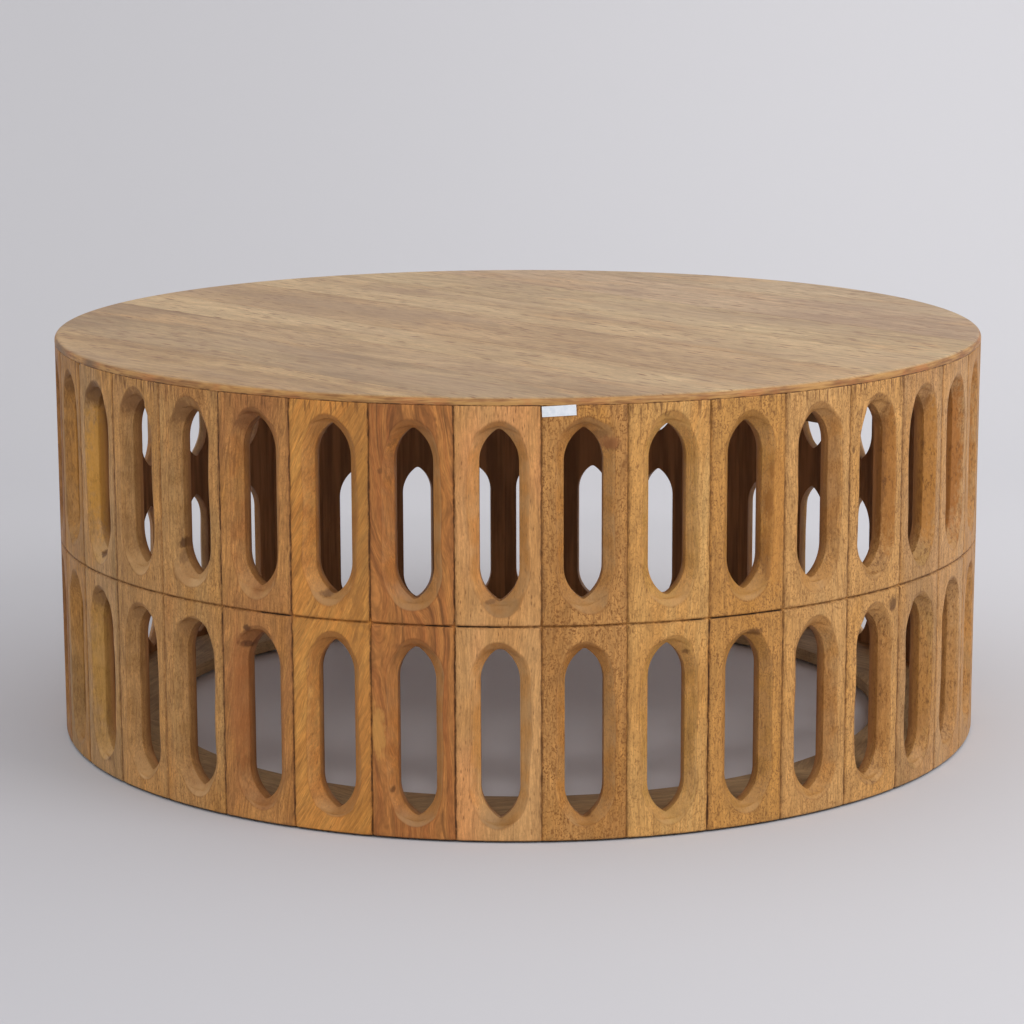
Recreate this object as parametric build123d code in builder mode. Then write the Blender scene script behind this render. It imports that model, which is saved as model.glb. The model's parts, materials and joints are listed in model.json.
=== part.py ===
"""African drum table: a low round table built like a drum.

The wall is a ring of upright mango-wood planks (staves), mitred and glued edge to edge and
turned round on the outside.  Each stave has two slots with pointed ends, one above the other,
with a wide carved bevel round each.  A board of glued planks, rebated at its rim, closes the
top.  A flat ring of six segments stiffens the feet and carries the floor glides.

All sizes are in millimetres.  +Z is up, and the origin is on the floor under the middle.
The front faces -Y.
"""

import os
from math import asin, atan2, cos, degrees, hypot, radians, sin, sqrt

from build123d import *

# ---------------------------------------------------------------- driving dimensions

# the drum's wall
outer_radius = 450.0
stave_count = 38
stave_thickness = 20.0
lower_tier_height = 190.5
upper_tier_height = 191.0
first_seam_angle = 2.51  # from straight front, towards +X, to the seam left of the label
label_stave_number = 8
narrow_stave_numbers = [22, 23, 26, 27, 30, 34]  # all of them at the back
wide_stave_numbers = [19, 21, 25, 29, 32, 33, 35]
narrow_share = 0.876  # of a regular stave's width
wide_share = 1.106

# grooves on the outside
tier_groove_width = 3.2
tier_groove_depth = 2.0
seam_chamfer = 1.3
foot_chamfer = 1.5
head_chamfer = 0.6

# slots: the clear opening, its distances from the tier's two ends, and its bevel
slot_width = 34.0
slot_arch_radius = 34.0
slot_tip_radius = 1.5
lower_slot_foot_margin = 21.0
lower_slot_head_margin = 20.0
upper_slot_foot_margin = 23.3
upper_slot_head_margin = 20.0
bevel_width = 8.5
bevel_depth = 10.0

# the top: a board of planks with a thin lip that covers the staves' ends
lip_thickness = 7.0
lip_round = 4.5
lip_chamfer = 0.6
board_thickness = 20.0
board_edge_clearance = 0.5
plank_direction = -47.0  # along the planks, from +X
plank_widths = [105.0, 100.0, 63.0, 77.0, 120.0, 105.0, 108.0, 117.0, 105.0]

# the ring inside the feet
ring_segments = 6
ring_width = 74.0
ring_thickness = 12.0
ring_recess = 1.5
ring_edge_round = 1.0
ring_first_joint = 14.0
ring_dowel_radius = 3.0
ring_dowel_length = 32.0
ring_dowel_spacing = 36.0

# glue blocks that hold the top to the wall, with one screw each
block_count = 10
block_width = 30.0
block_depth = 24.0
block_height = 22.0
block_chamfer = 3.0
screw_shank_radius = 2.0
screw_head_radius = 4.0
screw_tip_length = 4.0
screw_bite = 12.0  # how far a screw reaches into the board

# floor glides: a pad with a pin, pressed into the ring from below
glide_count = 8
glide_radius = 11.0
glide_thickness = 3.0
glide_edge_chamfer = 1.2
glide_pin_radius = 1.4
glide_pin_length = 8.0

# the small blank label near the head of one stave
label_length = 29.0
label_height = 9.0
label_thickness = 0.25
label_tilt = 2.6
label_seam_distance = 0.6
label_drop = -0.2  # from the staves' upper ends down to the label's upper edge

# clearances
glue_line = 0.1
seat_clearance = 0.1
hole_clearance = 0.05
overcut = 5.0  # how far a cutting tool runs past the wood

# ---------------------------------------------------------------- derived sizes

stave_shares = [
    narrow_share
    if number in narrow_stave_numbers
    else wide_share
    if number in wide_stave_numbers
    else 1
    for number in range(1, stave_count + 1)
]
stave_spans = [360 * share / sum(stave_shares) for share in stave_shares]  # in degrees
inner_apothem = outer_radius - stave_thickness

foot_z = glide_thickness - ring_recess
tier_groove_z = foot_z + lower_tier_height
head_z = tier_groove_z + upper_tier_height
top_z = head_z + lip_thickness
board_underside_z = top_z - board_thickness
board_inner_radius = inner_apothem - board_edge_clearance

ring_bottom_z = foot_z + ring_recess
ring_outer_radius = inner_apothem - seat_clearance
ring_inner_radius = ring_outer_radius - ring_width
ring_middle_radius = (ring_outer_radius + ring_inner_radius) / 2

arch_offset = slot_arch_radius - slot_width / 2  # from the slot's axis to an arch's centre
tip_centre_rise = sqrt((slot_arch_radius - slot_tip_radius) ** 2 - arch_offset**2)
arch_rise = tip_centre_rise + slot_tip_radius


def seam_azimuth(number):
    """The direction of the seam between a stave and the one before it, in degrees from +X."""
    turn = sum(stave_spans[: number - 1]) - sum(stave_spans[: label_stave_number - 1])
    return -90 + first_seam_angle + turn


# ---------------------------------------------------------------- staves


def slot_outline(spread, spring_low, spring_high):
    """Draw a slot's outline, widened all round by spread, in the open BuildLine.

    The sides are straight between the two spring heights.  Above and below, two arcs lean in
    and a small arc rounds the tip.  All arcs keep their centres as the outline spreads.
    """
    side = slot_width / 2 + spread
    arch = slot_arch_radius + spread
    tip = slot_tip_radius + spread
    lean = atan2(tip_centre_rise, arch_offset)
    for spring, up in ((spring_high, 1), (spring_low, -1)):
        shoulder = (-arch_offset + arch * cos(lean / 2), spring + up * arch * sin(lean / 2))
        meeting = (-arch_offset + arch * cos(lean), spring + up * arch * sin(lean))
        apex = (0, spring + up * (tip_centre_rise + tip))
        ThreePointArc((side, spring), shoulder, meeting)
        ThreePointArc(meeting, apex, (-meeting[0], meeting[1]))
        ThreePointArc((-meeting[0], meeting[1]), (-shoulder[0], shoulder[1]), (-side, spring))
    Line((side, spring_low), (side, spring_high))
    Line((-side, spring_low), (-side, spring_high))


lower_slot = (
    foot_z + lower_slot_foot_margin + arch_rise,
    tier_groove_z - lower_slot_head_margin - arch_rise,
)
upper_slot = (
    tier_groove_z + upper_slot_foot_margin + arch_rise,
    head_z - upper_slot_head_margin - arch_rise,
)
bevel_slope = bevel_width / bevel_depth

# One stave of each width, with its middle on +X.  The turned outside is a revolved section;
# the mitred sides, their chamfers and the flat inside come from the plan outline.
stave_patterns = {}
for span in sorted(set(stave_spans)):
    half_step = radians(span / 2)
    with BuildPart() as stave_pattern:
        with BuildSketch(Plane.XZ):
            with BuildLine():
                Polyline(
                    (inner_apothem - overcut, foot_z),
                    (outer_radius - foot_chamfer, foot_z),
                    (outer_radius, foot_z + foot_chamfer),
                    (outer_radius, tier_groove_z - tier_groove_width / 2),
                    (outer_radius - tier_groove_depth, tier_groove_z),
                    (outer_radius, tier_groove_z + tier_groove_width / 2),
                    (outer_radius, head_z - head_chamfer),
                    (outer_radius - head_chamfer, head_z),
                    (inner_apothem - overcut, head_z),
                    close=True,
                )
            make_face()
        revolve(axis=Axis.Z)

        with BuildSketch(Plane.XY.offset(foot_z - overcut)):
            inset = glue_line / 2
            inner_run = (inner_apothem - inset * sin(half_step)) / cos(half_step)
            outer_run = sqrt(outer_radius**2 - inset**2) - seam_chamfer
            inner_y = inner_run * sin(half_step) - inset * cos(half_step)
            side_x = outer_run * cos(half_step) + inset * sin(half_step)
            side_y = outer_run * sin(half_step) - inset * cos(half_step)
            corner_x = side_x + 2 * seam_chamfer
            corner_y = side_y - 2 * seam_chamfer
            far_x = outer_radius + overcut
            with BuildLine():
                Polyline(
                    (inner_apothem, -inner_y),
                    (side_x, -side_y),
                    (corner_x, -corner_y),
                    (far_x, -corner_y),
                    (far_x, corner_y),
                    (corner_x, corner_y),
                    (side_x, side_y),
                    (inner_apothem, inner_y),
                    close=True,
                )
            make_face()
        extrude(amount=head_z - foot_z + 2 * overcut, mode=Mode.INTERSECT)

        for spring_low, spring_high in (lower_slot, upper_slot):
            with BuildSketch(Plane.YZ.offset(inner_apothem - overcut)):
                with BuildLine():
                    slot_outline(0, spring_low, spring_high)
                make_face()
            extrude(amount=stave_thickness + 2 * overcut, mode=Mode.SUBTRACT)

            with BuildSketch(Plane.YZ.offset(outer_radius - bevel_depth)):
                with BuildLine():
                    slot_outline(0, spring_low, spring_high)
                make_face()
            with BuildSketch(Plane.YZ.offset(outer_radius + overcut)):
                with BuildLine():
                    slot_outline(bevel_width + overcut * bevel_slope, spring_low, spring_high)
                make_face()
            loft(ruled=True, mode=Mode.SUBTRACT)
    stave_patterns[span] = stave_pattern.part

os.makedirs("parts", exist_ok=True)

for number, span in enumerate(stave_spans, start=1):
    with BuildPart() as stave:
        add(stave_patterns[span].rotate(Axis.Z, seam_azimuth(number) + span / 2))
    stave.part.label = f"stave_{number:02d}"
    export_step(stave.part, f"parts/{stave.part.label}.step")

# ---------------------------------------------------------------- glue blocks and screws

block_radius = inner_apothem - block_depth / 2
block_seams = [1 + round(index * stave_count / block_count) for index in range(block_count)]
block_azimuths = [seam_azimuth(number) for number in block_seams]
block_places = [
    Location((0, 0, 0), (0, 0, azimuth)) * Location((block_radius, 0, board_underside_z))
    for azimuth in block_azimuths
]
screw_head_depth = screw_head_radius - screw_shank_radius


def screw_corners(play):
    """The corners of half a countersunk screw, head down, measured from the board's underside."""
    return [
        (0, -block_height),
        (screw_head_radius + play, -block_height),
        (screw_shank_radius + play, -block_height + screw_head_depth),
        (screw_shank_radius + play, screw_bite - screw_tip_length + play),
        (0, screw_bite + play),
    ]


with BuildPart() as screw_hole:
    with BuildSketch(Plane.XZ):
        with BuildLine():
            Polyline(*screw_corners(hole_clearance), close=True)
        make_face()
    revolve(axis=Axis.Z)

with BuildPart() as glue_blocks:
    for number, azimuth, place in zip(block_seams, block_azimuths, block_places):
        seat = inner_apothem - seat_clearance
        before = radians(stave_spans[number - 2] / 2)  # half the stave on each side of the seam
        after = radians(stave_spans[number - 1] / 2)
        ridge_x = seat * (sin(before) + sin(after)) / sin(before + after)
        ridge_y = seat * (cos(before) - cos(after)) / sin(before + after)
        block_plane = Plane.XY.offset(board_underside_z).rotated((0, 0, azimuth))
        with BuildSketch(block_plane):
            with BuildLine():
                Polyline(
                    (inner_apothem - block_depth, -block_width / 2 + block_chamfer),
                    (inner_apothem - block_depth + block_chamfer, -block_width / 2),
                    ((seat - block_width / 2 * sin(before)) / cos(before), -block_width / 2),
                    (ridge_x, ridge_y),
                    ((seat - block_width / 2 * sin(after)) / cos(after), block_width / 2),
                    (inner_apothem - block_depth + block_chamfer, block_width / 2),
                    (inner_apothem - block_depth, block_width / 2 - block_chamfer),
                    close=True,
                )
            make_face()
        extrude(amount=-block_height)
        with Locations(place):
            add(screw_hole.part, mode=Mode.SUBTRACT)
glue_blocks.part.label = "glue_blocks"
export_step(glue_blocks.part, "parts/glue_blocks.step")

with BuildPart() as block_screws:
    for place in block_places:
        with BuildSketch(Plane(place.position, x_dir=(1, 0, 0), z_dir=(0, -1, 0))):
            with BuildLine():
                Polyline(*screw_corners(0), close=True)
            make_face()
        revolve(axis=Axis(place.position, (0, 0, 1)))
block_screws.part.label = "block_screws"
export_step(block_screws.part, "parts/block_screws.step")

# ---------------------------------------------------------------- top planks

with BuildPart() as board:
    with BuildSketch(Plane.XZ):
        with BuildLine():
            Polyline(
                (0, board_underside_z),
                (board_inner_radius, board_underside_z),
                (board_inner_radius, head_z),
                (outer_radius - lip_chamfer, head_z),
                (outer_radius, head_z + lip_chamfer),
                (outer_radius, top_z - lip_round),
            )
            rim_centre = (outer_radius - lip_round, top_z - lip_round)
            CenterArc(rim_centre, lip_round, 0, 90)
            Polyline((outer_radius - lip_round, top_z), (0, top_z), (0, board_underside_z))
        make_face()
    revolve(axis=Axis.Z)
    with Locations(*block_places):
        add(screw_hole.part, mode=Mode.SUBTRACT)

# the widths are drawn out or in together, so that the planks always fill the board
width_fit = 2 * outer_radius / sum(plank_widths)
plank_joints = [
    -outer_radius + width_fit * sum(plank_widths[:count]) for count in range(1, len(plank_widths))
]
plank_edges = [-outer_radius - overcut, *plank_joints, outer_radius + overcut]
plank_plane = Plane.XY.offset(board_underside_z - overcut).rotated((0, 0, plank_direction))

for number, (near, far) in enumerate(zip(plank_edges, plank_edges[1:]), start=1):
    with BuildPart() as plank:
        add(board.part)
        with BuildSketch(plank_plane):
            with Locations((0, (near + far) / 2)):
                Rectangle(2 * (outer_radius + overcut), far - near - glue_line)
        extrude(amount=board_thickness + 2 * overcut, mode=Mode.INTERSECT)
    plank.part.label = f"top_plank_{number}"
    export_step(plank.part, f"parts/{plank.part.label}.step")

# ---------------------------------------------------------------- ring inside the feet

ring_joints = [ring_first_joint + index * 360 / ring_segments for index in range(ring_segments)]
ring_middle_z = ring_bottom_z + ring_thickness / 2
dowel_radii = [ring_middle_radius + side * ring_dowel_spacing / 2 for side in (-1, 1)]
dowel_places = [
    Location((0, 0, 0), (0, 0, joint)) * Location((radius, 0, ring_middle_z))
    for joint in ring_joints
    for radius in dowel_radii
]
glide_azimuths = [(index + 0.5) * 360 / glide_count for index in range(glide_count)]
glide_places = [
    Location((0, 0, 0), (0, 0, azimuth)) * Location((ring_middle_radius, 0, ring_bottom_z))
    for azimuth in glide_azimuths
]

with BuildPart() as ring:
    with BuildSketch(Plane.XZ) as ring_section:
        with Locations((ring_middle_radius, ring_middle_z)):
            Rectangle(ring_width, ring_thickness)
        fillet(ring_section.vertices().group_by(Axis.X)[0], radius=ring_edge_round)
    revolve(axis=Axis.Z)
    with Locations(*dowel_places):
        Cylinder(
            ring_dowel_radius + hole_clearance,
            ring_dowel_length + 2 * hole_clearance,
            rotation=(90, 0, 0),
            mode=Mode.SUBTRACT,
        )
    with Locations(*glide_places):
        Cylinder(
            glide_pin_radius + hole_clearance,
            glide_pin_length + hole_clearance,
            align=(Align.CENTER, Align.CENTER, Align.MIN),
            mode=Mode.SUBTRACT,
        )

segment_half_angle = 180 / ring_segments
joint_inset = degrees(asin(glue_line / 2 / ring_middle_radius))
segment_reach = (outer_radius + overcut) / cos(radians(segment_half_angle / 2))

for number, joint in enumerate(ring_joints, start=1):
    with BuildPart() as segment:
        add(ring.part)
        start = joint + joint_inset
        middle = joint + segment_half_angle
        end = joint + 2 * segment_half_angle - joint_inset
        with BuildSketch(Plane.XY.offset(ring_bottom_z - overcut)):
            with BuildLine():
                corners = [
                    (segment_reach * cos(radians(turn)), segment_reach * sin(radians(turn)))
                    for turn in (start, middle, end)
                ]
                Polyline((0, 0), *corners, close=True)
            make_face()
        extrude(amount=ring_thickness + 2 * overcut, mode=Mode.INTERSECT)
    segment.part.label = f"base_ring_segment_{number}"
    export_step(segment.part, f"parts/{segment.part.label}.step")

with BuildPart() as ring_dowels:
    with Locations(*dowel_places):
        Cylinder(ring_dowel_radius, ring_dowel_length, rotation=(90, 0, 0))
ring_dowels.part.label = "ring_dowels"
export_step(ring_dowels.part, "parts/ring_dowels.step")

# ---------------------------------------------------------------- floor glides

with BuildPart() as floor_glides:
    for place in glide_places:
        glide_plane = Plane((place.position.X, place.position.Y, 0), x_dir=(1, 0, 0), z_dir=(0, -1, 0))
        with BuildSketch(glide_plane):
            with BuildLine():
                pad_top = glide_thickness
                pin_top = glide_thickness + glide_pin_length
                Polyline(
                    (0, 0),
                    (glide_radius - glide_edge_chamfer, 0),
                    (glide_radius, glide_edge_chamfer),
                    (glide_radius, pad_top),
                    (glide_pin_radius, pad_top),
                    (glide_pin_radius, pin_top - glide_pin_radius),
                    (0, pin_top),
                    close=True,
                )
            make_face()
        revolve(axis=Axis((place.position.X, place.position.Y, 0), (0, 0, 1)))
floor_glides.part.label = "floor_glides"
export_step(floor_glides.part, "parts/floor_glides.step")

# ---------------------------------------------------------------- blank label

label_turn = degrees((label_seam_distance + label_length / 2) / outer_radius)
label_azimuth = seam_azimuth(label_stave_number) + label_turn
label_inner_radius = outer_radius + hole_clearance
label_outer_radius = label_inner_radius + label_thickness
label_z = head_z - label_drop - label_height / 2
label_reach = hypot(label_length, label_height)
label_outward = Vector(cos(radians(label_azimuth)), sin(radians(label_azimuth)), 0)
label_sideways = Vector(-label_outward.Y, label_outward.X, 0)
label_plane = Plane((0, 0, label_z), x_dir=label_sideways, z_dir=label_outward)

with BuildPart() as blank_label:
    with BuildSketch(Plane.XY.offset(label_z - label_reach)):
        Circle(label_outer_radius)
        Circle(label_inner_radius, mode=Mode.SUBTRACT)
    extrude(amount=2 * label_reach)
    with BuildSketch(label_plane.offset(inner_apothem)):
        Rectangle(label_length, label_height, rotation=label_tilt)
    extrude(amount=stave_thickness + overcut, mode=Mode.INTERSECT)
blank_label.part.label = "blank_label"
export_step(blank_label.part, "parts/blank_label.step")
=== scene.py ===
# %% [markdown]
# # A drum table of slotted staves
#
# The table is a drum: 38 upright planks, called staves, stand in a ring and carry a round
# board of glued planks. Every stave has two slots with pointed ends, and a broad sanded bevel
# runs round each slot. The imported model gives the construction. This notebook dresses it: it
# works each visible surface out with numpy, and finishes it with procedural wood.

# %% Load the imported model
import json

import bmesh
import bpy
import numpy as np
from mathutils import Matrix, Vector

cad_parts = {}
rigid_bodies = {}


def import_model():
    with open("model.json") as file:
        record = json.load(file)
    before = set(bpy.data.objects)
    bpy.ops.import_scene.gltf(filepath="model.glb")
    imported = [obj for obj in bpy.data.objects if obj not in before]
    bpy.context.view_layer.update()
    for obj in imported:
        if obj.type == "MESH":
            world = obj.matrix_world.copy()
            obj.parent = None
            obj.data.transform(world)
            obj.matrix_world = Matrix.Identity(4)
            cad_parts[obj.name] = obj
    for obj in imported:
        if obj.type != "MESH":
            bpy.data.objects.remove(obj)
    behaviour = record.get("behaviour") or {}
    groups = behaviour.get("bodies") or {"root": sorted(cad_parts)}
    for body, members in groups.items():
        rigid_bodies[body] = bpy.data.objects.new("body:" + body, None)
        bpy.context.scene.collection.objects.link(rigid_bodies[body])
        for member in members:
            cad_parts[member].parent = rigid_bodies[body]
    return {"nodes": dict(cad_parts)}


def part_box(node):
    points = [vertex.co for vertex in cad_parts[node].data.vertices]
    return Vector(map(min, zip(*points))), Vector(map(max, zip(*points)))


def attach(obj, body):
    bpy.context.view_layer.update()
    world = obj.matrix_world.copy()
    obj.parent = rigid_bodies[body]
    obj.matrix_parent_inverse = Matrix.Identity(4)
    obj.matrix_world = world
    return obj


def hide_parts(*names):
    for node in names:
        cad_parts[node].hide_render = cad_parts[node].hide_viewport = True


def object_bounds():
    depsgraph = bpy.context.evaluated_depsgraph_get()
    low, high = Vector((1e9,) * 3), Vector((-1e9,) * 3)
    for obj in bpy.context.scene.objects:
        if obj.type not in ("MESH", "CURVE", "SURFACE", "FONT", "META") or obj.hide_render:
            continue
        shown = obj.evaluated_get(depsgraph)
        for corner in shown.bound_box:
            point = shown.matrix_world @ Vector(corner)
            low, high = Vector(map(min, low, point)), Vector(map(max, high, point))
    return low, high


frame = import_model()
cad_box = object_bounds()
print("nodes in the packed model:", len(frame["nodes"]))

# %% [markdown]
# ## Sizes
#
# The surfaces have to land where the construction says, so the outer sizes come from the
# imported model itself. The sizes that a box can't tell, such as a slot's opening or a bevel's
# width, are named here once, in metres.

# %% Sizes of the drum
MM = 0.001


def height_of(node):
    """The lowest and highest point of a node."""
    low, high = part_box(node)
    return low[2], high[2]


foot_z, head_z = height_of("stave_01")
ring_low, ring_high = height_of("base_ring_segment_1")
board_low, top_z = height_of("top_plank_5")
label_low, label_high = height_of("blank_label")

outer_radius = (cad_box[1][0] - cad_box[0][0]) / 2
stave_count = sum(name.startswith("stave_") for name in frame["nodes"])
segment_count = sum(name.startswith("base_ring_segment_") for name in frame["nodes"])

stave_thickness = 20 * MM
inner_apothem = outer_radius - stave_thickness
glue_gap = 0.1 * MM
groove_z = foot_z + 190.5 * MM
print("outer radius", round(outer_radius, 4), "height", round(top_z, 4))

# %% [markdown]
# Most staves are equally wide. At the back a few odd ones, narrower and wider, fill the ring.
# Each stave's share of the full turn follows, and from it the direction of its middle.

# %% Directions of the staves
narrow_staves, narrow_share = [22, 23, 26, 27, 30, 34], 0.876
wide_staves, wide_share = [19, 21, 25, 29, 32, 33, 35], 1.106
first_seam = np.radians(2.51)
label_stave = 8

stave_share = np.ones(stave_count)
stave_share[np.array(narrow_staves) - 1] = narrow_share
stave_share[np.array(wide_staves) - 1] = wide_share
stave_span = 2 * np.pi * stave_share / stave_share.sum()
seam_turn = np.concatenate([[0], np.cumsum(stave_span)])
seam_turn = seam_turn - seam_turn[label_stave - 1] + first_seam - np.pi / 2


def stave_azimuth(number):
    """The direction of a stave's middle, in radians from +X."""
    return seam_turn[number - 1] + stave_span[number - 1] / 2


print("stave widths in degrees", np.degrees(np.unique(stave_span.round(6))).round(2))

# %% [markdown]
# ## Helpers for surfaces
#
# Each surface is a grid of points that a formula gives, with quads between neighbours. Where
# two grids meet they share the same points, so one merge closes the skin. Sharp edges are
# marked by angle, which keeps a crisp arris crisp and lets a sanded one roll over softly.

# %% Grids and meshes
weld_distance = 4e-6


def grid_quads(rows, columns, first=0, closed=False):
    """Quads between the points of a grid that is stored row by row, from index first."""
    row = np.arange(rows - 1)[:, None]
    column = np.arange(columns if closed else columns - 1)[None, :]
    here = first + row * columns + column
    beside = first + row * columns + (column + 1) % columns
    return np.stack([here, beside, beside + columns, here + columns], axis=-1).reshape(-1, 4)


def weld(mesh):
    """Merge the points that two grids share, turn the faces outwards and count open edges."""
    shell = bmesh.new()
    shell.from_mesh(mesh)
    bmesh.ops.remove_doubles(shell, verts=shell.verts, dist=weld_distance)
    bmesh.ops.dissolve_degenerate(shell, edges=shell.edges, dist=weld_distance)
    loose = [vertex for vertex in shell.verts if not vertex.link_faces]
    bmesh.ops.delete(shell, geom=loose, context="VERTS")
    bmesh.ops.recalc_face_normals(shell, faces=shell.faces)
    open_edges = sum(not edge.is_manifold for edge in shell.edges)
    shell.to_mesh(mesh)
    shell.free()
    return open_edges


def new_piece(name, points, quads, attributes=None, sharp_angle=32):
    """A mesh object at the origin from points and quads, welded, closed and facing outwards."""
    mesh = bpy.data.meshes.new(name)
    mesh.from_pydata(points.tolist(), [], quads.tolist())
    for key, values in (attributes or {}).items():
        kind, field = ("FLOAT_VECTOR", "vector") if values.ndim == 2 else ("FLOAT", "value")
        layer = mesh.attributes.new(key, kind, "POINT")
        layer.data.foreach_set(field, values.astype(np.float32).ravel())
    open_edges = weld(mesh)
    mesh.shade_smooth()
    mesh.set_sharp_from_angle(angle=np.radians(sharp_angle))
    piece = bpy.data.objects.new(name, mesh)
    bpy.context.collection.objects.link(piece)
    if open_edges:
        print(name, "has", open_edges, "open edges")
    return piece


print("a closed grid of 3 by 4 points has", len(grid_quads(3, 4, closed=True)), "quads")

# %% [markdown]
# Nearly everything on a drum is either turned about its axis or lies at a radius and a
# direction from it, so both steps get a helper.

# %% Points about the axis
def turned(points, angle):
    """Points turned about the drum's axis."""
    cos, sin = np.cos(angle), np.sin(angle)
    x, y = points[..., 0], points[..., 1]
    return np.stack([x * cos - y * sin, x * sin + y * cos, points[..., 2]], axis=-1)


def about_axis(radius, angle, height):
    """Points at a radius, a direction and a height, each a value or an array."""
    parts = np.broadcast_arrays(radius * np.cos(angle), radius * np.sin(angle), height)
    return np.stack(parts, axis=-1)


print("straight front on the rim:", about_axis(outer_radius, -np.pi / 2, 0).round(3))

# %% [markdown]
# Hand work is never quite even. A sum of a few sines with seeded phases gives a waviness that
# is the same on each run. Soft steps and soft ramps blend one surface into the next.

# %% Waviness and soft steps
def wavy(values, seed, lowest, highest, count=5):
    """A smooth random curve between about -1 and 1: a sum of sines over an array of values."""
    draw = np.random.default_rng(seed)
    frequency = draw.uniform(lowest, highest, count)
    phase = draw.uniform(0, 2 * np.pi, count)
    weight = draw.uniform(0.4, 1, count) / count
    return (np.sin(values[..., None] * frequency + phase) * weight).sum(-1) * 2


def soft_step(values, low, high):
    """0 below low, 1 above high, and the even S 3t^2 - 2t^3 between them."""
    t = np.clip((values - low) / (high - low), 0, 1)
    return t * t * (3 - 2 * t)


def soft_ramp(values, softness):
    """0 for negative values and the value itself for positive ones: s log(1 + exp(v / s))."""
    return softness * np.logaddexp(0, values / softness)


print("half a soft step:", soft_step(np.array(0.5), 0, 1))

# %% [markdown]
# ## The slot's outline
#
# The router followed a template: two straight sides, and at each end two arcs that lean
# together to a point. The best way to walk round such a curve is by the direction of its
# normal, because a bevel of even width is then the same curve with every radius enlarged by
# the same amount.

# %% Arcs of the slot
slot_half_width = 17 * MM
arch_radius = 34 * MM
tip_radius = 1.5 * MM
arch_offset = arch_radius - slot_half_width


def tip_of(spread, end_round):
    """A tip's arc where the outline is widened by spread: its radius and its centre's height.

    The bevel's rim is rounder than the hole: the tip's radius grows faster than the spread.
    """
    radius = np.minimum(end_round + 2.3 * np.maximum(spread, 0), 0.93 * (slot_half_width + spread))
    rise = np.sqrt((arch_radius + spread - radius) ** 2 - arch_offset**2)
    return radius, rise


arch_rise = tip_of(0.0, tip_radius)[1] + tip_radius
slot_tiers = {
    "lower": (foot_z + 21 * MM + arch_rise, groove_z - 20 * MM - arch_rise),
    "upper": (groove_z + 23.3 * MM + arch_rise, head_z - 20 * MM - arch_rise),
}
print("an arch rises", round(arch_rise / MM, 1), "mm")

# %% [markdown]
# The outline is sampled more closely at its ends than along its straight sides. Its columns
# of quads turn a corner on their way to the plank's edge, so a few directions are fixed.

# %% Points round the slot
lean = np.radians(58.4)  # where the side's arc hands over to the tip
corner_turn = np.radians(36)  # the normal's direction where the ring of quads turns a corner
side_arc, side_straight, end_arc, end_tip = 9, 22, 9, 9


def end_turns():
    """The normals' directions from the middle of a side round one end to the other side."""
    stops = [0, corner_turn, lean, np.pi - lean, np.pi - corner_turn, np.pi]
    counts = [side_arc, end_arc, end_tip, end_arc, side_arc]
    arcs = zip(stops, stops[1:], counts)
    return np.concatenate([np.linspace(a, b, count, endpoint=False) for a, b, count in arcs])


def loop_of(slot_low, slot_high):
    """The normals' directions all round, and for each the height of its arc's centre."""
    turn = end_turns()
    straight = np.linspace(0, 1, side_straight, endpoint=False)
    top = (turn, np.full(turn.size, slot_high))
    left = (np.full(straight.size, np.pi), slot_high + (slot_low - slot_high) * straight)
    bottom = (turn + np.pi, np.full(turn.size, slot_low))
    right = (np.full(straight.size, 2 * np.pi), slot_low + (slot_high - slot_low) * straight)
    parts = (top, left, bottom, right)
    return np.concatenate([p[0] for p in parts]), np.concatenate([p[1] for p in parts])


def outline_points(turn, centre_z, spread, end_round):
    """Points of the outline widened by spread, as sideways and upward coordinates.

    Near the sides an arc's centre lies across the slot's axis, and at a tip it lies on it. The
    direction where one hands over to the other depends on how round the tip is.
    """
    around, up = np.cos(turn), np.sin(turn)
    radius_tip, rise = tip_of(spread, end_round)
    at_tip = np.abs(up) > np.sin(np.arctan2(rise, arch_offset))
    centre_y = np.where(at_tip, 0, -np.sign(around) * arch_offset)
    lift = np.where(at_tip, np.sign(up) * rise, 0)
    radius = np.where(at_tip, radius_tip, arch_radius + spread)
    return centre_y + radius * around, centre_z + lift + radius * up


print("points round a slot:", loop_of(0, 1)[0].size)

# %% [markdown]
# ## A stave
#
# A stave is one plank. Its outside was turned round on the finished drum and its inside is
# flat. The skin is a ring of quads round each slot: flat back, wall of the hole, bevel, face,
# and the plank's own edge. The face's depth comes from three soft steps: the sanded bevel, the
# eased edge along a glue joint, and the V groove at mid height. Small waves in the bevel and in
# the eased edge keep it from looking machined.

# %% Depth of a stave's face
seam_ease = 1.3 * MM
foot_ease = 1.5 * MM
head_ease = 0.6 * MM
groove_depth = 2.0 * MM
groove_half_width = 1.6 * MM
mitre_inset = glue_gap / 2


def seam_depth(height, seed):
    """How deep the eased edge along a joint is, at each height."""
    slow, quick = wavy(height, seed, 60, 420), wavy(height, seed + 1, 700, 1500)
    return seam_ease * (1 + 0.35 * slow + 0.25 * quick)


def half_width(height, look, which):
    """How far sideways the face reaches, on the mitre plane, at each height."""
    half = look["half"]
    out = (outer_radius - look["recess"] - seam_depth(height, look["seeds"][which])) * np.cos(half)
    return out * np.tan(half) - mitre_inset / np.cos(half)


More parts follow.
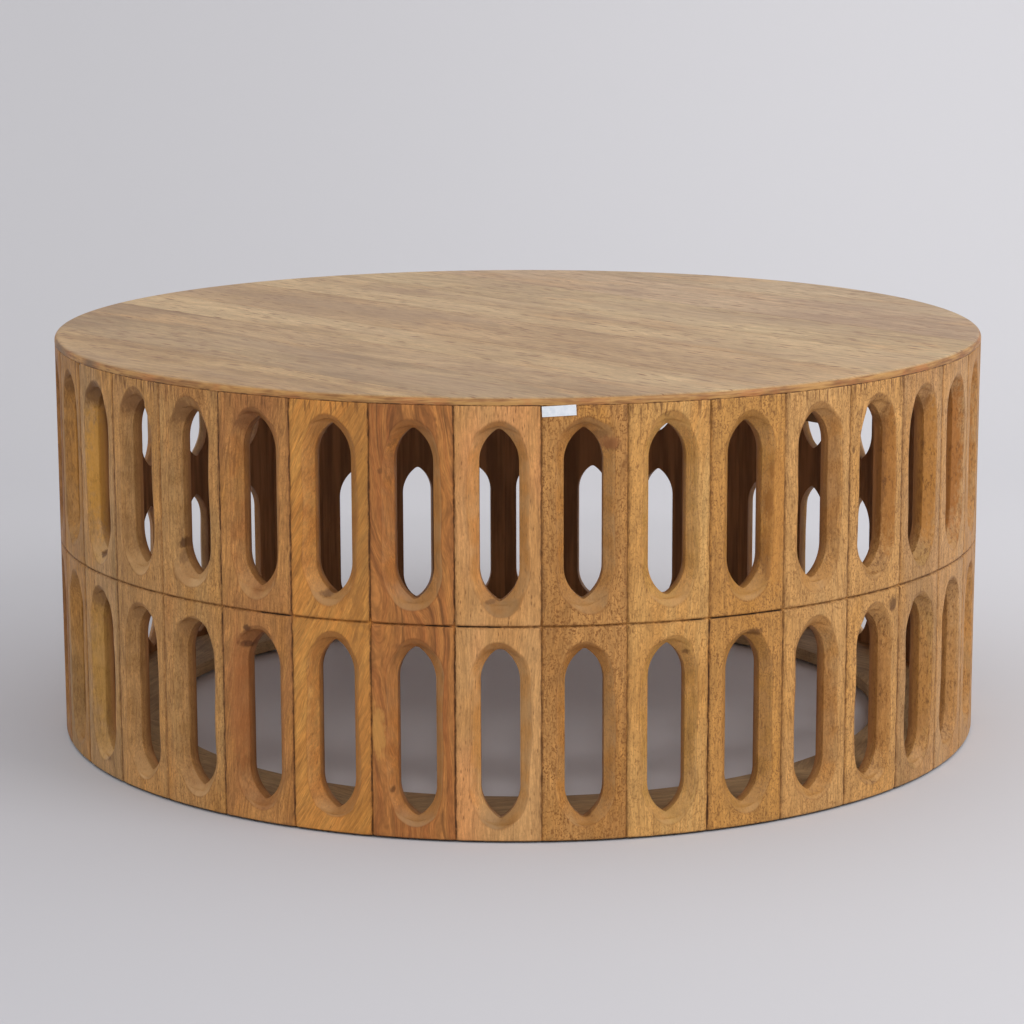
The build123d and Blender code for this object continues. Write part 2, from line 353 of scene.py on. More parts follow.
def face_out(side, height, look):
    """How far the turned face lies from the drum's axis plane, away from the bevels."""
    to_right = side > 0
    eases = [seam_depth(height, seed) for seed in look["seeds"]]
    rooms = [half_width(height, look, which) for which in (0, 1)]
    ease = np.where(to_right, *eases)
    room = np.where(to_right, *rooms) - np.abs(side)
    out = np.sqrt(outer_radius**2 - side**2) - look["recess"]
    out = out - soft_ramp(ease - room, 0.12 * MM) + soft_ramp(-room, 0.12 * MM)
    out = out - soft_ramp(groove_depth * (1 - np.abs(height - groove_z) / groove_half_width), 0.1 * MM)
    out = out - soft_ramp(foot_ease - (height - foot_z), 0.15 * MM)
    return out - soft_ramp(head_ease - (head_z - height), 0.1 * MM)


print("groove", groove_depth / MM, "mm deep at height", round(groove_z, 4))

# %% [markdown]
# The ring of quads ends on the edge of its tier, which is a rectangle. Its columns have to
# reach the rectangle's corners, so along an end they are spread in equal steps.

# %% Border of a tier
column_share = np.linspace(1, -1, 2 * end_arc + end_tip + 1)


def soft_share(turn):
    """0 at a slot's side, rising evenly to 1 where the ring turns its corner."""
    folded = np.pi / 2 - np.abs(np.mod(turn, np.pi) - np.pi / 2)
    return np.clip(folded / corner_turn, 0, 1)


def end_share(turn):
    """1 at the right corner of an end, -1 at its left corner, in equal steps by column."""
    inner = end_turns()[side_arc:-side_arc]
    known = np.concatenate([inner, [np.pi - corner_turn]])
    share = np.interp(np.mod(turn, np.pi), known, column_share)
    return np.where(np.sin(turn) >= 0, share, -share)


def border_of(turn, centre_z, low, high, look):
    """Where each column of the ring reaches the edge of its tier, sideways and upwards."""
    height_high = centre_z + (high - centre_z) * soft_share(turn)
    height_low = centre_z + (low - centre_z) * soft_share(turn)
    up = np.sin(turn) > 1e-9
    down = np.sin(turn) < -1e-9
    height = np.where(up, height_high, np.where(down, height_low, centre_z))
    half_right, half_left = half_width(height, look, 0), half_width(height, look, 1)
    side = np.where(np.cos(turn) >= 0, half_right, -half_left)
    folded = np.abs(np.mod(turn, np.pi) - np.pi / 2)  # 0 at a tip, pi/2 at a side
    at_end = folded <= np.pi / 2 - corner_turn + 1e-9
    share = end_share(turn)
    across = np.where(share >= 0, half_right * share, half_left * share)
    return np.where(at_end, across, side), height


print("columns across an end:", column_share.size)

# %% [markdown]
# The rows of the ring run from the hole outwards. They lie close together where the surface
# turns, at the hole's arris and at the bevel's rim, and further apart where it is plain.

# %% Rows of the ring of quads
# Spread from the hole and depth below the outer radius, in millimetres.
hole_rows = [(0.5, 20.0), (0.15, 19.7), (0.0, 19.2), (0.0, 15.0), (0.0, 12.5), (0.0, 11.2), (0.03, 10.5)]
bevel_spreads = [0.12, 0.4, 0.9, 1.6, 2.6, 3.8, 5.0, 6.2, 7.1, 7.7, 8.2, 8.6, 9.1, 9.7, 10.6, 11.8]
# Shares of the way from the slot to the tier's edge, on the face and on the back, and through
# the plank at that edge.
face_steps = [0.25, 0.48, 0.68, 0.82, 0.91, 0.96, 0.985, 1.0]
back_steps = [1.0, 0.6, 0.25]
edge_steps = [0.04, 0.5, 1.0]
row_count = sum(map(len, (back_steps, hole_rows, bevel_spreads, face_steps, edge_steps)))
print("the hole's rows:", len(hole_rows), "the bevel's rows:", len(bevel_spreads))

# %% [markdown]
# The bevel was sanded by hand. Its width swells and narrows on its way round, more so where the
# tool wandered into a scoop, and it reaches further at the slot's tips.

# %% The bevel
bevel_width = 8.5 * MM
bevel_depth = 10 * MM


def bevel_out(spread, width):
    """How far the bevel lies from the axis plane: it rises evenly from the hole to the face."""
    return outer_radius - bevel_depth + spread * (bevel_depth / width)


def bevel_widths(turn, number, tier, look):
    """The bevel's width at each column."""
    seed = 1000 * number + (7 if tier == "lower" else 3)
    along = np.cumsum(np.full(turn.size, 2 * np.pi / turn.size))
    reach = 0.07 * (np.sin(2 * along + seed) + np.sin(3 * along + 2 * seed) + np.sin(7 * along - seed))
    for where, width, extra in look["scoops"].get(tier, []):
        gap = np.angle(np.exp(1j * (turn - where)))
        reach = reach + extra * np.exp(-((gap / width) ** 2))
    return bevel_width * look["bevel"] * (1 + reach)


def slot_ends(turn, tier, look):
    """How round the tip is, and how far the bevel is drawn out there, at each column."""
    upward = np.sin(turn) > 0
    end_round = np.where(upward, *look["round"][tier]) * MM
    stretch = 1 + np.where(upward, *look["reach"][tier]) * np.sin(turn) ** 4
    return end_round, stretch


print("the bevel rises", bevel_depth / MM, "mm over", bevel_width / MM, "mm")

# %% [markdown]
# With these parts a tier of a stave is built row by row. Each point also carries how much it
# lies on the bevel and which way the bevel faces there, and how much it takes the inside's
# colour: all of it on the back, and on the hole's wall more with depth, as painted shade. The
# finish reads both, and paints light and shade on the bevel by the way it faces.

# %% A tier of a stave
def open_middle(quads, border_z):
    """The quads without the edge wall at mid height, where the two tiers of a stave meet."""
    columns = border_z.size
    shared = np.isclose(border_z, groove_z, atol=1e-7)
    on_shared = shared & np.roll(shared, -1)
    wall = np.arange(row_count - 1 - len(edge_steps), row_count - 1)
    keep = np.ones(len(quads), bool)
    keep[(wall[:, None] * columns + np.flatnonzero(on_shared)[None, :]).ravel()] = False
    return quads[keep]


def tier_grid(number, tier, look):
    """Points, quads and attributes of a stave's lower or upper half."""
    slot_low, slot_high = slot_tiers[tier]
    shift_y, shift_z = look["shift"][tier]
    low, high = (foot_z, groove_z) if tier == "lower" else (groove_z, head_z)
    turn, centre_z = loop_of(slot_low - look["longer"], slot_high)
    width = bevel_widths(turn, number, tier, look)
    end_round, stretch = slot_ends(turn, tier, look)
    softness = 0.3 * MM + 0.35 * MM * np.cos(turn) ** 2

    border_y, border_z = border_of(turn, centre_z, low, high, look)
    back_half = inner_apothem * np.tan(look["half"]) - mitre_inset / np.cos(look["half"])
    half_right, half_left = half_width(border_z, look, 0), half_width(border_z, look, 1)
    back_y = border_y * back_half / np.where(border_y > 0, half_right, half_left)
    facing = np.column_stack([np.ones(turn.size), np.sin(turn), np.cos(turn)])
    rows, carved, inside = [], [], []

    def slot_row(spread):
        rim = bevel_spreads[-4] * MM
        wide = np.minimum(spread, rim) * stretch + np.maximum(spread - rim, 0)
        side, height = outline_points(turn, centre_z, wide, end_round)
        return side + shift_y, height + shift_z

    def add_row(out, side, height, carve, dark):
        rows.append(np.stack([np.broadcast_to(out, side.shape), side, height], axis=-1))
        carved.append(facing * np.broadcast_to(carve, side.shape)[:, None])
        inside.append(np.broadcast_to(dark, side.shape))

    def add_face_row(side, height, spread, carve):
        face = face_out(side, height, look)
        out = face - soft_ramp(face - bevel_out(spread, width), softness)
        add_row(out, side, height, carve, 0)

    inner_y, inner_z = slot_row(hole_rows[0][0] * MM)
    for step in back_steps:
        side = inner_y + (back_y - inner_y) * step
        height = inner_z + (border_z - inner_z) * step
        add_row(inner_apothem, side, height, 0, 1)
    for spread, depth in hole_rows:
        # Painted shade: the hole's wall takes on the inside's colour with its depth, fully at the back.
        dark = 0.4 * soft_step(depth, 9.9, 14) + 0.6 * (depth > 18)
        add_row(outer_radius - depth * MM, *slot_row(spread * MM), 1, dark)
    for spread in bevel_spreads:
        side, height = slot_row(spread * MM)
        carve = 1 - soft_step(spread * MM, width - 0.9 * MM, width + 0.9 * MM)
        add_face_row(side, height, spread * MM, carve)
    last_y, last_z = side, height
    for step in face_steps:
        side = last_y + (border_y - last_y) * step
        height = last_z + (border_z - last_z) * step
        add_face_row(side, height, bevel_spreads[-1] * MM + np.hypot(side - last_y, height - last_z), 0)
    front = rows[-1][:, 0]
    for step in edge_steps:
        side = border_y + (back_y - border_y) * step
        add_row(front + (inner_apothem - front) * step, side, border_z, 0, step)

    quads = open_middle(grid_quads(row_count, turn.size, closed=True), border_z)
    values = {"carved": np.concatenate(carved), "inside": np.concatenate(inside)}
    return np.concatenate(rows), quads, values


print("rows of points in a tier:", row_count)

# %% [markdown]
# Each stave was cut and sanded by itself, so no two are quite alike. A stave's look holds the
# small shifts of its slots, the width of its bevels, extra scoops where the tool wandered, and
# how far it lies below its neighbours. Unseen staves draw these at random from a fixed seed.

# %% The look of every stave
# A scoop's direction, its half width in radians and how much wider the bevel is there.
scoops = {
    3: {"upper": [(np.radians(228), 0.5, 0.35)]},
    6: {"upper": [(np.radians(-50), 0.4, 0.3), (np.radians(225), 0.5, 0.3)]},
    7: {"upper": [(np.radians(-60), 0.5, 0.2)]},
    8: {"upper": [(np.radians(36), 0.34, 1.0), (np.radians(-58), 0.4, 0.55)]},
    9: {"lower": [(np.radians(60), 0.5, 0.3)]},
}
# The radius of a slot's upper and lower tip, in millimetres.
tip_rounds = {
    5: {"lower": (4.0, 2.0)},
    7: {"upper": (4.5, 3.5), "lower": (7.5, 2.0)},
    8: {"upper": (2.0, 2.5), "lower": (3.5, 2.0)},
}
look_seed, first_joint_seed = 400, 50


def joint_seed(number):
    """The seed of the joint before a stave. The staves on both sides of it share its waves."""
    return 3 * (first_joint_seed + number)


def stave_look(number):
    """The small differences of one stave."""
    draw = np.random.default_rng(look_seed + number)
    shift = {
        tier: ((mean + draw.normal(0, 0.3)) * MM, draw.normal(0, 0.5) * MM)
        for tier, mean in (("lower", 1.3), ("upper", 0.8))
    }
    rounds = {tier: tuple(draw.uniform(1.5, 4.5, 2)) for tier in ("lower", "upper")}
    return {
        "half": stave_span[number - 1] / 2,
        "seeds": (joint_seed(number % stave_count + 1), joint_seed(number)),
        "shift": shift,
        "round": {**rounds, **tip_rounds.get(number, {})},
        "reach": {"lower": draw.uniform(0.45, 0.65, 2), "upper": draw.uniform(0.6, 0.85, 2)},
        "longer": draw.uniform(1.2, 2.4) * MM,
        "bevel": draw.uniform(0.95, 1.08),
        "recess": draw.uniform(0.02, 0.3) * MM,
        "scoops": scoops.get(number, {}),
    }


print("the label's stave lies", round(stave_look(label_stave)["recess"] / MM, 2), "mm low")

# %% [markdown]
# The finish also has to know where dirt can gather. A point carries how near it is to the
# joint, to the groove, and to a slit: a stretch of groove with a fine dark line along its bottom.

# %% Where dirt gathers
seam_reach, groove_reach, slit_half_height = 5 * MM, 4 * MM, 0.5 * MM
# Where a slit starts and ends, as shares of the stave's width.
slits = {4: [(0.57, 0.98)], 6: [(0.65, 0.95)], 7: [(0.02, 0.55)], 9: [(0.76, 0.92)], 10: [(0.03, 0.97)]}


def dirt_of_stave(number, local, half):
    """The share of seam, groove and slit at each point of a stave."""
    near_face = soft_step(local[:, 0], outer_radius - 6 * MM, outer_radius - 3 * MM)
    to_seam = local[:, 0] * np.tan(half) - np.abs(local[:, 1])
    to_groove = np.abs(local[:, 2] - groove_z)
    share = local[:, 1] / (outer_radius * np.tan(half)) / 2 + 0.5
    slit = np.zeros(len(local))
    for start, end in slits.get(number, []):
        within = (share > start) & (share < end) & (to_groove < slit_half_height)
        slit = np.maximum(slit, within * near_face)
    return {
        "seam": np.clip(1 - to_seam / seam_reach, 0, 1) * near_face,
        "groove": np.clip(1 - to_groove / groove_reach, 0, 1) * near_face,
        "slit": slit,
    }


print("staves with a slit:", sorted(slits))

# %% [markdown]
# A stave is its two tiers, worked out as if it stood straight ahead of +X and then turned to
# its place. The plank's own coordinates are kept for the grain, before it is turned.

# %% All the staves
def make_stave(number):
    """The skin of one stave, with the plank's own coordinates as an attribute."""
    look = stave_look(number)
    tiers = [tier_grid(number, tier, look) for tier in ("lower", "upper")]
    local = np.concatenate([points for points, _, _ in tiers])
    quads = np.concatenate([tiers[0][1], tiers[1][1] + len(tiers[0][0])])
    values = {key: np.concatenate([tier[2][key] for tier in tiers]) for key in ("carved", "inside")}
    values["plank"] = local[:, [1, 0, 2]] - np.array([0, outer_radius, 0])
    values.update(dirt_of_stave(number, local, look["half"]))
    return new_piece(f"carved_stave_{number:02d}", turned(local, stave_azimuth(number)), quads, values)


staves = {number: make_stave(number) for number in range(1, stave_count + 1)}
print("a stave has", len(staves[1].data.polygons), "faces")

# %% [markdown]
# ## The top's planks
#
# The top is a board of nine planks of random width, cut round and rebated: only a thin lip
# lies on the staves, and the rest hangs inside the wall. Each plank's skin follows its own
# outline: two joint lines and two arcs.

# %% Plank outlines
plank_direction = np.radians(-47)
plank_widths = np.array([105, 100, 63, 77, 120, 105, 108, 117, 105]) * MM
plank_edges = -outer_radius + np.concatenate([[0], np.cumsum(plank_widths)])
arc_columns, line_columns = 40, 50
line_share = np.linspace(1, -1, line_columns)[1:-1]
# Where each point of an outline goes on the plank's middle line, from 1 to -1.
spine_share = np.concatenate([np.ones(arc_columns), line_share, -np.ones(arc_columns), -line_share])


def joined_sides(near, far):
    """Whether a plank has a neighbour at its near edge, and at its far edge."""
    return near > -outer_radius + MM, far < outer_radius - MM


def plank_outline(near, far, arc_inset, line_inset):
    """Points round a plank's plan, along it and across it, inset from the rim and the joints."""
    radius = outer_radius - arc_inset
    near_joint, far_joint = joined_sides(near, far)
    low = max(near + line_inset, -radius) if near_joint else -radius
    high = min(far - line_inset, radius) if far_joint else radius
    angles = np.linspace(np.arcsin(low / radius), np.arcsin(high / radius), arc_columns)
    arc = np.stack([radius * np.cos(angles), radius * np.sin(angles)], axis=-1)
    share = line_share[:, None]
    far_line = np.concatenate([share * arc[-1, 0], np.full_like(share, arc[-1, 1])], axis=1)
    near_line = np.concatenate([-share * arc[0, 0], np.full_like(share, arc[0, 1])], axis=1)
    return np.concatenate([arc, far_line, arc[::-1] * [-1, 1], near_line])


print("edges of the planks in mm", (plank_edges / MM).round())

# %% [markdown]
# The outline is carried inwards over the rounded rim and shrinks to a line along the plank's
# middle, above and below. Along the joints the top edge is lowered a little, which leaves a
# fine V between neighbours.

# %% Planks
lip_round = 4.5 * MM
lip_ease = 0.6 * MM
board_radius = inner_apothem - 0.5 * MM
joint_width = 0.9 * MM
joint_depths = np.array([0.1, 0.1, 0.1, 0.15, 0.15, 0.1, 0.1, 0.15, 0.15]) * MM


def plank_section(joint_depth):
    """Rows of a plank's skin: its inset from rim and joint, its height, and the V's drop."""
    under = outer_radius - board_radius
    rows = [(under, 0, board_low, 0), (under, 0, head_z, 0), (2 * lip_ease, 0, head_z, 0)]
    rows += [(lip_ease, 0, head_z, 0), (0, 0, head_z + lip_ease, 0)]
    for turn in np.linspace(0, np.pi / 2, 9):
        height = top_z - lip_round * (1 - np.sin(turn))
        rows.append((lip_round * (1 - np.cos(turn)), 0, height, joint_depth))
    for inset in (0.3 * MM, joint_width, 2.5 * MM, 6 * MM, 12 * MM):
        drop = joint_depth * max(0, 1 - inset / joint_width)
        rows.append((lip_round + inset, inset, top_z, drop))
    return rows


def towards_spine(row, near, far, steps):
    """Rows that shrink an outline to the plank's middle line."""
    middle = (near + far) / 2
    reach = np.sqrt(outer_radius**2 - middle**2) - 0.6 * (far - near)
    spine = np.column_stack([spine_share * reach, np.full(len(row), middle), row[:, 2]])
    return [row + (spine - row) * step for step in steps]


def make_plank(name, near, far, joint_depth):
    """The closed skin of one plank of the top."""
    near_joint, far_joint = joined_sides(near, far)
    runs = [arc_columns, line_share.size, arc_columns, line_share.size]
    on_joint = (np.abs(spine_share) < 0.9999) & np.repeat([True, far_joint, True, near_joint], runs)
    rows, joints = [], []
    for arc_inset, line_inset, height, drop in plank_section(joint_depth):
        plan = plank_outline(near, far, arc_inset, glue_gap / 2 + line_inset)
        heights = np.where(on_joint, np.minimum(height, top_z - drop), height)
        rows.append(np.column_stack([plan, heights]))
        joints.append(on_joint * (1.0 if line_inset < 0.5 * MM else 0.0))
    under = towards_spine(rows[0], near, far, (1.0, 0.5))
    above = towards_spine(rows[-1], near, far, (0.3, 0.65, 1.0))
    grid = np.concatenate(under + rows + above)
    quads = grid_quads(len(under) + len(rows) + len(above), len(rows[0]), closed=True)
    plain = np.zeros(len(rows[0]))
    joint = np.concatenate([plain] * len(under) + joints + [plain] * len(above))
    values = {"joint": joint, "plank": grid - np.array([0, 0, top_z])}
    return new_piece(name, turned(grid, plank_direction), quads, values, sharp_angle=40)


planks = [
    make_plank(f"board_plank_{index + 1}", plank_edges[index], plank_edges[index + 1], depth)
    for index, depth in enumerate(joint_depths)
]
print("planks of the top:", len(planks))

# %% [markdown]
# ## The ring inside the feet
#
# A flat ring of six curved boards ties the feet together. Each board is a rounded rectangle
# carried along an arc, with its two ends closed.

# %% Foot ring
ring_width = 74 * MM
ring_outer = inner_apothem - 0.1 * MM
ring_inner = ring_outer - ring_width
ring_middle = (ring_outer + ring_inner) / 2
ring_round = 1.0 * MM
ring_flat = ring_outer - ring_inner - ring_round
ring_first_joint = np.radians(14)
ring_span = 2 * np.pi / segment_count
round_points, flat_points, ring_rows = 5, 8, 61


def ring_section():
    """Corners of the ring's section, inside edges rounded, as radius and height."""
    turn = np.linspace(0, np.pi / 2, round_points)
    across = ring_inner + ring_round * (1 - np.sin(turn))
    low_arc = np.stack([across, ring_low + ring_round * (1 - np.cos(turn))], axis=-1)
    high_arc = low_arc[::-1] * [1, -1] + [0, ring_low + ring_high]
    flat = np.linspace(0, 1, flat_points)[:, None]
    top = [ring_inner + ring_round, ring_high] + flat[1:] * [ring_flat, 0]
    bottom = [ring_outer, ring_low] + flat[:-1] * [-ring_flat, 0]
    return np.concatenate([low_arc, high_arc, top, bottom])


def make_ring_segment(index):
    """One curved board of the foot ring."""
    section = ring_section()
    inset = glue_gap / 2 / ring_middle
    start = ring_first_joint + index * ring_span + inset
    turn = np.linspace(start, start + ring_span - 2 * inset, ring_rows)[:, None]
    arcs = about_axis(section[:, 0], turn, section[:, 1])
    middle = arcs.mean(axis=1, keepdims=True)
    ends = [np.broadcast_to(end, arcs[:1].shape) for end in (middle[:1], middle[-1:])]
    grid = np.concatenate([ends[0], arcs, ends[1]])
    quads = grid_quads(*grid.shape[:2], closed=True)
    return new_piece(f"foot_ring_{index + 1}", grid.reshape(-1, 3), quads)


foot_ring = [make_ring_segment(index) for index in range(segment_count)]
print("boards of the foot ring:", len(foot_ring))

# %% [markdown]
# ## The floor glides
#
# Eight dark pads carry the ring. Each is a profile turned about its own axis: a flat foot, an
# eased edge and a low body, with the pin that holds it hidden in the ring.

# %% Glides
# The radius and the height of the profile's corners, in millimetres.
glide_foot = [(0, 0), (9.2, 0), (9.8, 0.1), (10.5, 0.5), (10.9, 1.1), (11, 1.6), (11, 3)]
glide_pin = [(1.4, 3), (1.4, 10), (0, 11)]
glide_count, glide_columns = 8, 48


def make_glides():
    """All the glides as one piece."""
    around = np.linspace(0, 2 * np.pi, glide_columns, endpoint=False)
    profile = np.array(glide_foot + glide_pin) * MM
    one = about_axis(profile[:, :1], around, profile[:, 1:]).reshape(-1, 3)
    places = (np.arange(glide_count) + 0.5) * 2 * np.pi / glide_count
    points = [one + about_axis(ring_middle, angle, 0) for angle in places]
    quads = grid_quads(len(profile), glide_columns, closed=True)
    quads = np.concatenate([quads + index * len(one) for index in range(glide_count)])
    return new_piece("turned_glides", np.concatenate(points), quads, sharp_angle=30)


glides = make_glides()
print("glides:", glide_count, "on a circle of radius", round(ring_middle, 4))

# %% [markdown]
# ## The blank label
#
# A small paper label is stuck across the top joint of one stave. It is a thin sheet bent to the
# drum's curve, and a little tilted.

# %% Label
label_length, label_height, label_thickness = 29 * MM, 9 * MM, 0.22 * MM
label_lift = 0.06 * MM
label_tilt = np.radians(2.6)
label_turn = seam_turn[label_stave - 1] + (0.6 * MM + label_length / 2) / outer_radius
label_middle = (label_low + label_high) / 2
label_rows, label_columns = 13, 31


def label_sheet(lift):
    """The sheet's points at a distance from the wall."""
    across = np.linspace(-0.5, 0.5, label_columns)[None, :] * label_length
    up = np.linspace(-0.5, 0.5, label_rows)[:, None] * label_height
    side = across * np.cos(label_tilt) - up * np.sin(label_tilt)
    height = label_middle + across * np.sin(label_tilt) + up * np.cos(label_tilt)
    return about_axis(outer_radius + lift, label_turn + side / outer_radius, height).reshape(-1, 3)


def make_label():
    """A curved sheet with a front, a back and four edges."""
    sheets = [label_sheet(label_lift), label_sheet(label_lift + label_thickness)]
    index = np.arange(label_rows * label_columns).reshape(label_rows, label_columns)
    rim = np.concatenate([index[0], index[1:, -1], index[-1, -2::-1], index[-2:0:-1, 0]])
    beside = np.roll(rim, -1)
    edge = np.stack([rim, beside, beside + index.size, rim + index.size], axis=-1)
    faces = [grid_quads(label_rows, label_columns, first=first) for first in (0, index.size)]
    return new_piece("paper_label", np.concatenate(sheets), np.concatenate([*faces, edge]), sharp_angle=30)


label = make_label()
print("the label has", len(label.data.polygons), "faces")

# %% [markdown]
# ## Finishes
#
# A finish is a small tree of nodes. Colours are written as they would be read from a paint
# card, from 0 to 255, and turned into the linear values that light adds up in. A few helpers
# keep the trees short. The first ones add a node, do a sum, map a value and mix two colours.

# %% Helpers for finishes
def tone(red, green, blue):
    """A paint-card colour as linear light, by the sRGB formula."""
    card = np.array([red, green, blue]) / 255
    linear = np.where(card <= 0.04045, card / 12.92, ((card + 0.055) / 1.055) ** 2.4)
    return (*linear.tolist(), 1.0)


def give(tree, node, inputs):
    """Set a node's inputs, each to a value or to another node's socket."""
    for key, value in inputs.items():
        if isinstance(value, bpy.types.NodeSocket):
            tree.links.new(value, node.inputs[key])
        else:
            node.inputs[key].default_value = value


def add(tree, kind, inputs=None, **settings):
    """A new node with its settings and its inputs."""
    node = tree.nodes.new(kind)
    for key, value in settings.items():
        setattr(node, key, value)
    give(tree, node, inputs or {})
    return node


def sum_of(tree, operation, first, second=0.0, third=0.0):
    """The result of a Math node."""
    inputs = {0: first, 1: second, 2: third}
    return add(tree, "ShaderNodeMath", inputs, operation=operation).outputs[0]


def times(tree, first, second):
    """The product of two values."""
    return sum_of(tree, "MULTIPLY", first, second)


def ramp(tree, value, low, high, start=0.0, end=1.0):
    """A value mapped smoothly from low-high to start-end."""
    inputs = {"Value": value, 1: low, 2: high, 3: start, 4: end}
    return add(tree, "ShaderNodeMapRange", inputs, interpolation_type="SMOOTHSTEP").outputs[0]


def mix(tree, share, first, second, blend="MIX"):
    """Two colours mixed by a share."""
    inputs = {0: share, 6: first, 7: second}
    return add(tree, "ShaderNodeMix", inputs, data_type="RGBA", blend_type=blend).outputs[2]


print("paint-card white as linear light:", tone(255, 255, 255))

# %% [markdown]
# The next helpers work on places: they take a vector apart, put one together, move it, and
# read a noise there. The last ones start a finish and hand its colour to the shader.

# %% Helpers for places and shaders
def attribute(tree, name, output="Fac"):
    """A value that the mesh carries at each point."""
    return add(tree, "ShaderNodeAttribute", attribute_name=name).outputs[output]


def place_of(tree):
    """A point's place. Every piece has its origin on the drum's axis, at the floor."""
    return add(tree, "ShaderNodeTexCoord").outputs["Object"]


def parts_of(tree, vector):
    """The three numbers of a vector."""
    return tuple(add(tree, "ShaderNodeSeparateXYZ", {0: vector}).outputs)


def vector_of(tree, *numbers):
    """A vector made of three numbers."""
    return add(tree, "ShaderNodeCombineXYZ", dict(enumerate(numbers))).outputs[0]


def length_of(tree, vector):
    """The length of a vector."""
    return add(tree, "ShaderNodeVectorMath", {0: vector}, operation="LENGTH").outputs["Value"]


def moved(tree, vector, location=(0, 0, 0), rotation=(0, 0, 0), scale=(1, 1, 1)):
    """A vector that is scaled, then turned, then shifted."""
    inputs = {"Vector": vector, "Location": location, "Rotation": rotation, "Scale": scale}
    return add(tree, "ShaderNodeMapping", inputs).outputs[0]


def noise(tree, vector, scale, detail=2.0, roughness=0.5, stretch=(1, 1, 1), offset=(0, 0, 0)):
    """A noise value between 0 and 1 over a stretched and shifted vector."""
    place = moved(tree, vector, location=offset, scale=stretch)
    inputs = {"Vector": place, "Scale": scale, "Detail": detail, "Roughness": roughness}
    return add(tree, "ShaderNodeTexNoise", inputs).outputs[0]


def new_finish(name):
    """An empty finish, its tree and its shader."""
    finish = bpy.data.materials.new(name)
    finish.use_nodes = True
    return finish, finish.node_tree, finish.node_tree.nodes["Principled BSDF"]


def coat(tree, shader, colour, roughness, height, strength, distance=0.0003, specular=0.5, metallic=0.0):
    """Hand the shader its colour, its roughness, a bump over height and its two levels of shine."""
    bump = add(tree, "ShaderNodeBump", {"Height": height, "Strength": strength, "Distance": distance})
    give(tree, shader, {
        "Base Color": colour, "Roughness": roughness, "Specular IOR Level": specular,
        "Metallic": metallic, "Normal": bump.outputs[0],
    })


helpers = (attribute, place_of, parts_of, vector_of, length_of, moved, noise, new_finish, coat)
print("helpers:", ", ".join(helper.__name__ for helper in helpers))

# %% [markdown]
# ## Wood
#
# Wood is rings round a pith, cut by a plane, with fibres along the trunk. The figure is worked
# out in three dimensions, so that a bevel shows the rings turning as it cuts through them. The
# grain sways on its way along the plank, first slowly and then quickly.

# %% Rings
def flow_of(tree, plank, look, shift):
    """The leaning plank, its flow with the sway, and that flow's across and depth."""
    leaning = moved(tree, plank, rotation=(0, look["lean"], 0))
    across, depth, along = parts_of(tree, leaning)
    for scale, amount, drawn in ((look["sway_scale"], look["sway"], 0.35), (90, look["curl"], 0.25)):
        sway = noise(tree, leaning, scale, 2, stretch=(1, 1, drawn), offset=shift)
        across = sum_of(tree, "MULTIPLY_ADD", sway, amount, across)
    return leaning, vector_of(tree, across, depth, along), across, depth


def ring_tones(tree, leaning, across, depth, look, shift):
    """The colour of rings, patches and a warm glow.

    Rings are a noise of the distance from the pith, sqrt(across^2 + depth^2).
    """
    from_pith = sum_of(tree, "SUBTRACT", across, look["pith_across"])
    under = sum_of(tree, "SUBTRACT", depth, look["pith_depth"])
    under = times(tree, under, under)
    radius = sum_of(tree, "SQRT", sum_of(tree, "MULTIPLY_ADD", from_pith, from_pith, under))
    turns = {"W": times(tree, radius, look["ring_pitch"]), "Scale": 1.0, "Detail": 3.0}
    rings = add(tree, "ShaderNodeTexNoise", turns, noise_dimensions="1D").outputs[0]
    patch = noise(tree, leaning, look["patch_scale"], 2, stretch=(1, 1, 0.4), offset=shift[::-1])
    late = ramp(tree, rings, 0.34, 0.66)
    broad = ramp(tree, patch, 0.38, 0.64, 0, 1 - look["rings"])
    share = sum_of(tree, "MULTIPLY_ADD", late, look["rings"], broad)
    colour = mix(tree, share, look["light"], look["deep"])
    warm = noise(tree, leaning, 22, 2, stretch=(1, 1, 0.3), offset=(5.0, shift[1], 1.0))
    return mix(tree, ramp(tree, warm, 0.52, 0.72, 0, look["warm"]), colour, look["glow"])


plain_wood = {
    "lean": 0.0, "sway": 0.03, "sway_scale": 16, "curl": 0.004, "pith_across": 0.0,
    "pith_depth": -0.07, "ring_pitch": 190, "rings": 0.35, "patch_scale": 16, "warm": 0.5,
    "fibre": 0.17, "worms": 0.2, "streak": 0.4, "streak_scale": 380, "pores": 0.25,
    "pore_scale": 420, "pore_size": 0.42, "pore_shape": (1, 1, 0.3), "pore_depth": 0.55,
}
print("settings of a wood:", len(plain_wood))

# %% [markdown]
# On top of the rings lie fine fibres, long mineral streaks, short crooked lines and dark pores.
# Fibres and streaks are noises drawn out along the plank, and pores are stretched cells.

# %% Fibres, lines and pores
def fibre_shade(tree, leaning, flow, look, shift):
    """The fibres' height, and the shade of fibres, finer fibres and a mottle together."""
    dark, light = 1 - look["fibre"], 1 + 0.6 * look["fibre"]
    fibre = noise(tree, flow, 560, 1, stretch=(1, 1, 0.06), offset=shift)
    fine = noise(tree, flow, 1300, 1, stretch=(1, 1, 0.12), offset=shift)
    mottle = noise(tree, leaning, 150, 2, 0.6, stretch=(1, 1, 0.3), offset=(3.0, shift[2], 0.0))
    shade = times(tree, *[ramp(tree, value, 0.3, 0.7, dark, light) for value in (fibre, fine)])
    return fibre, times(tree, shade, ramp(tree, mottle, 0.3, 0.7, 0.9, 1.1))


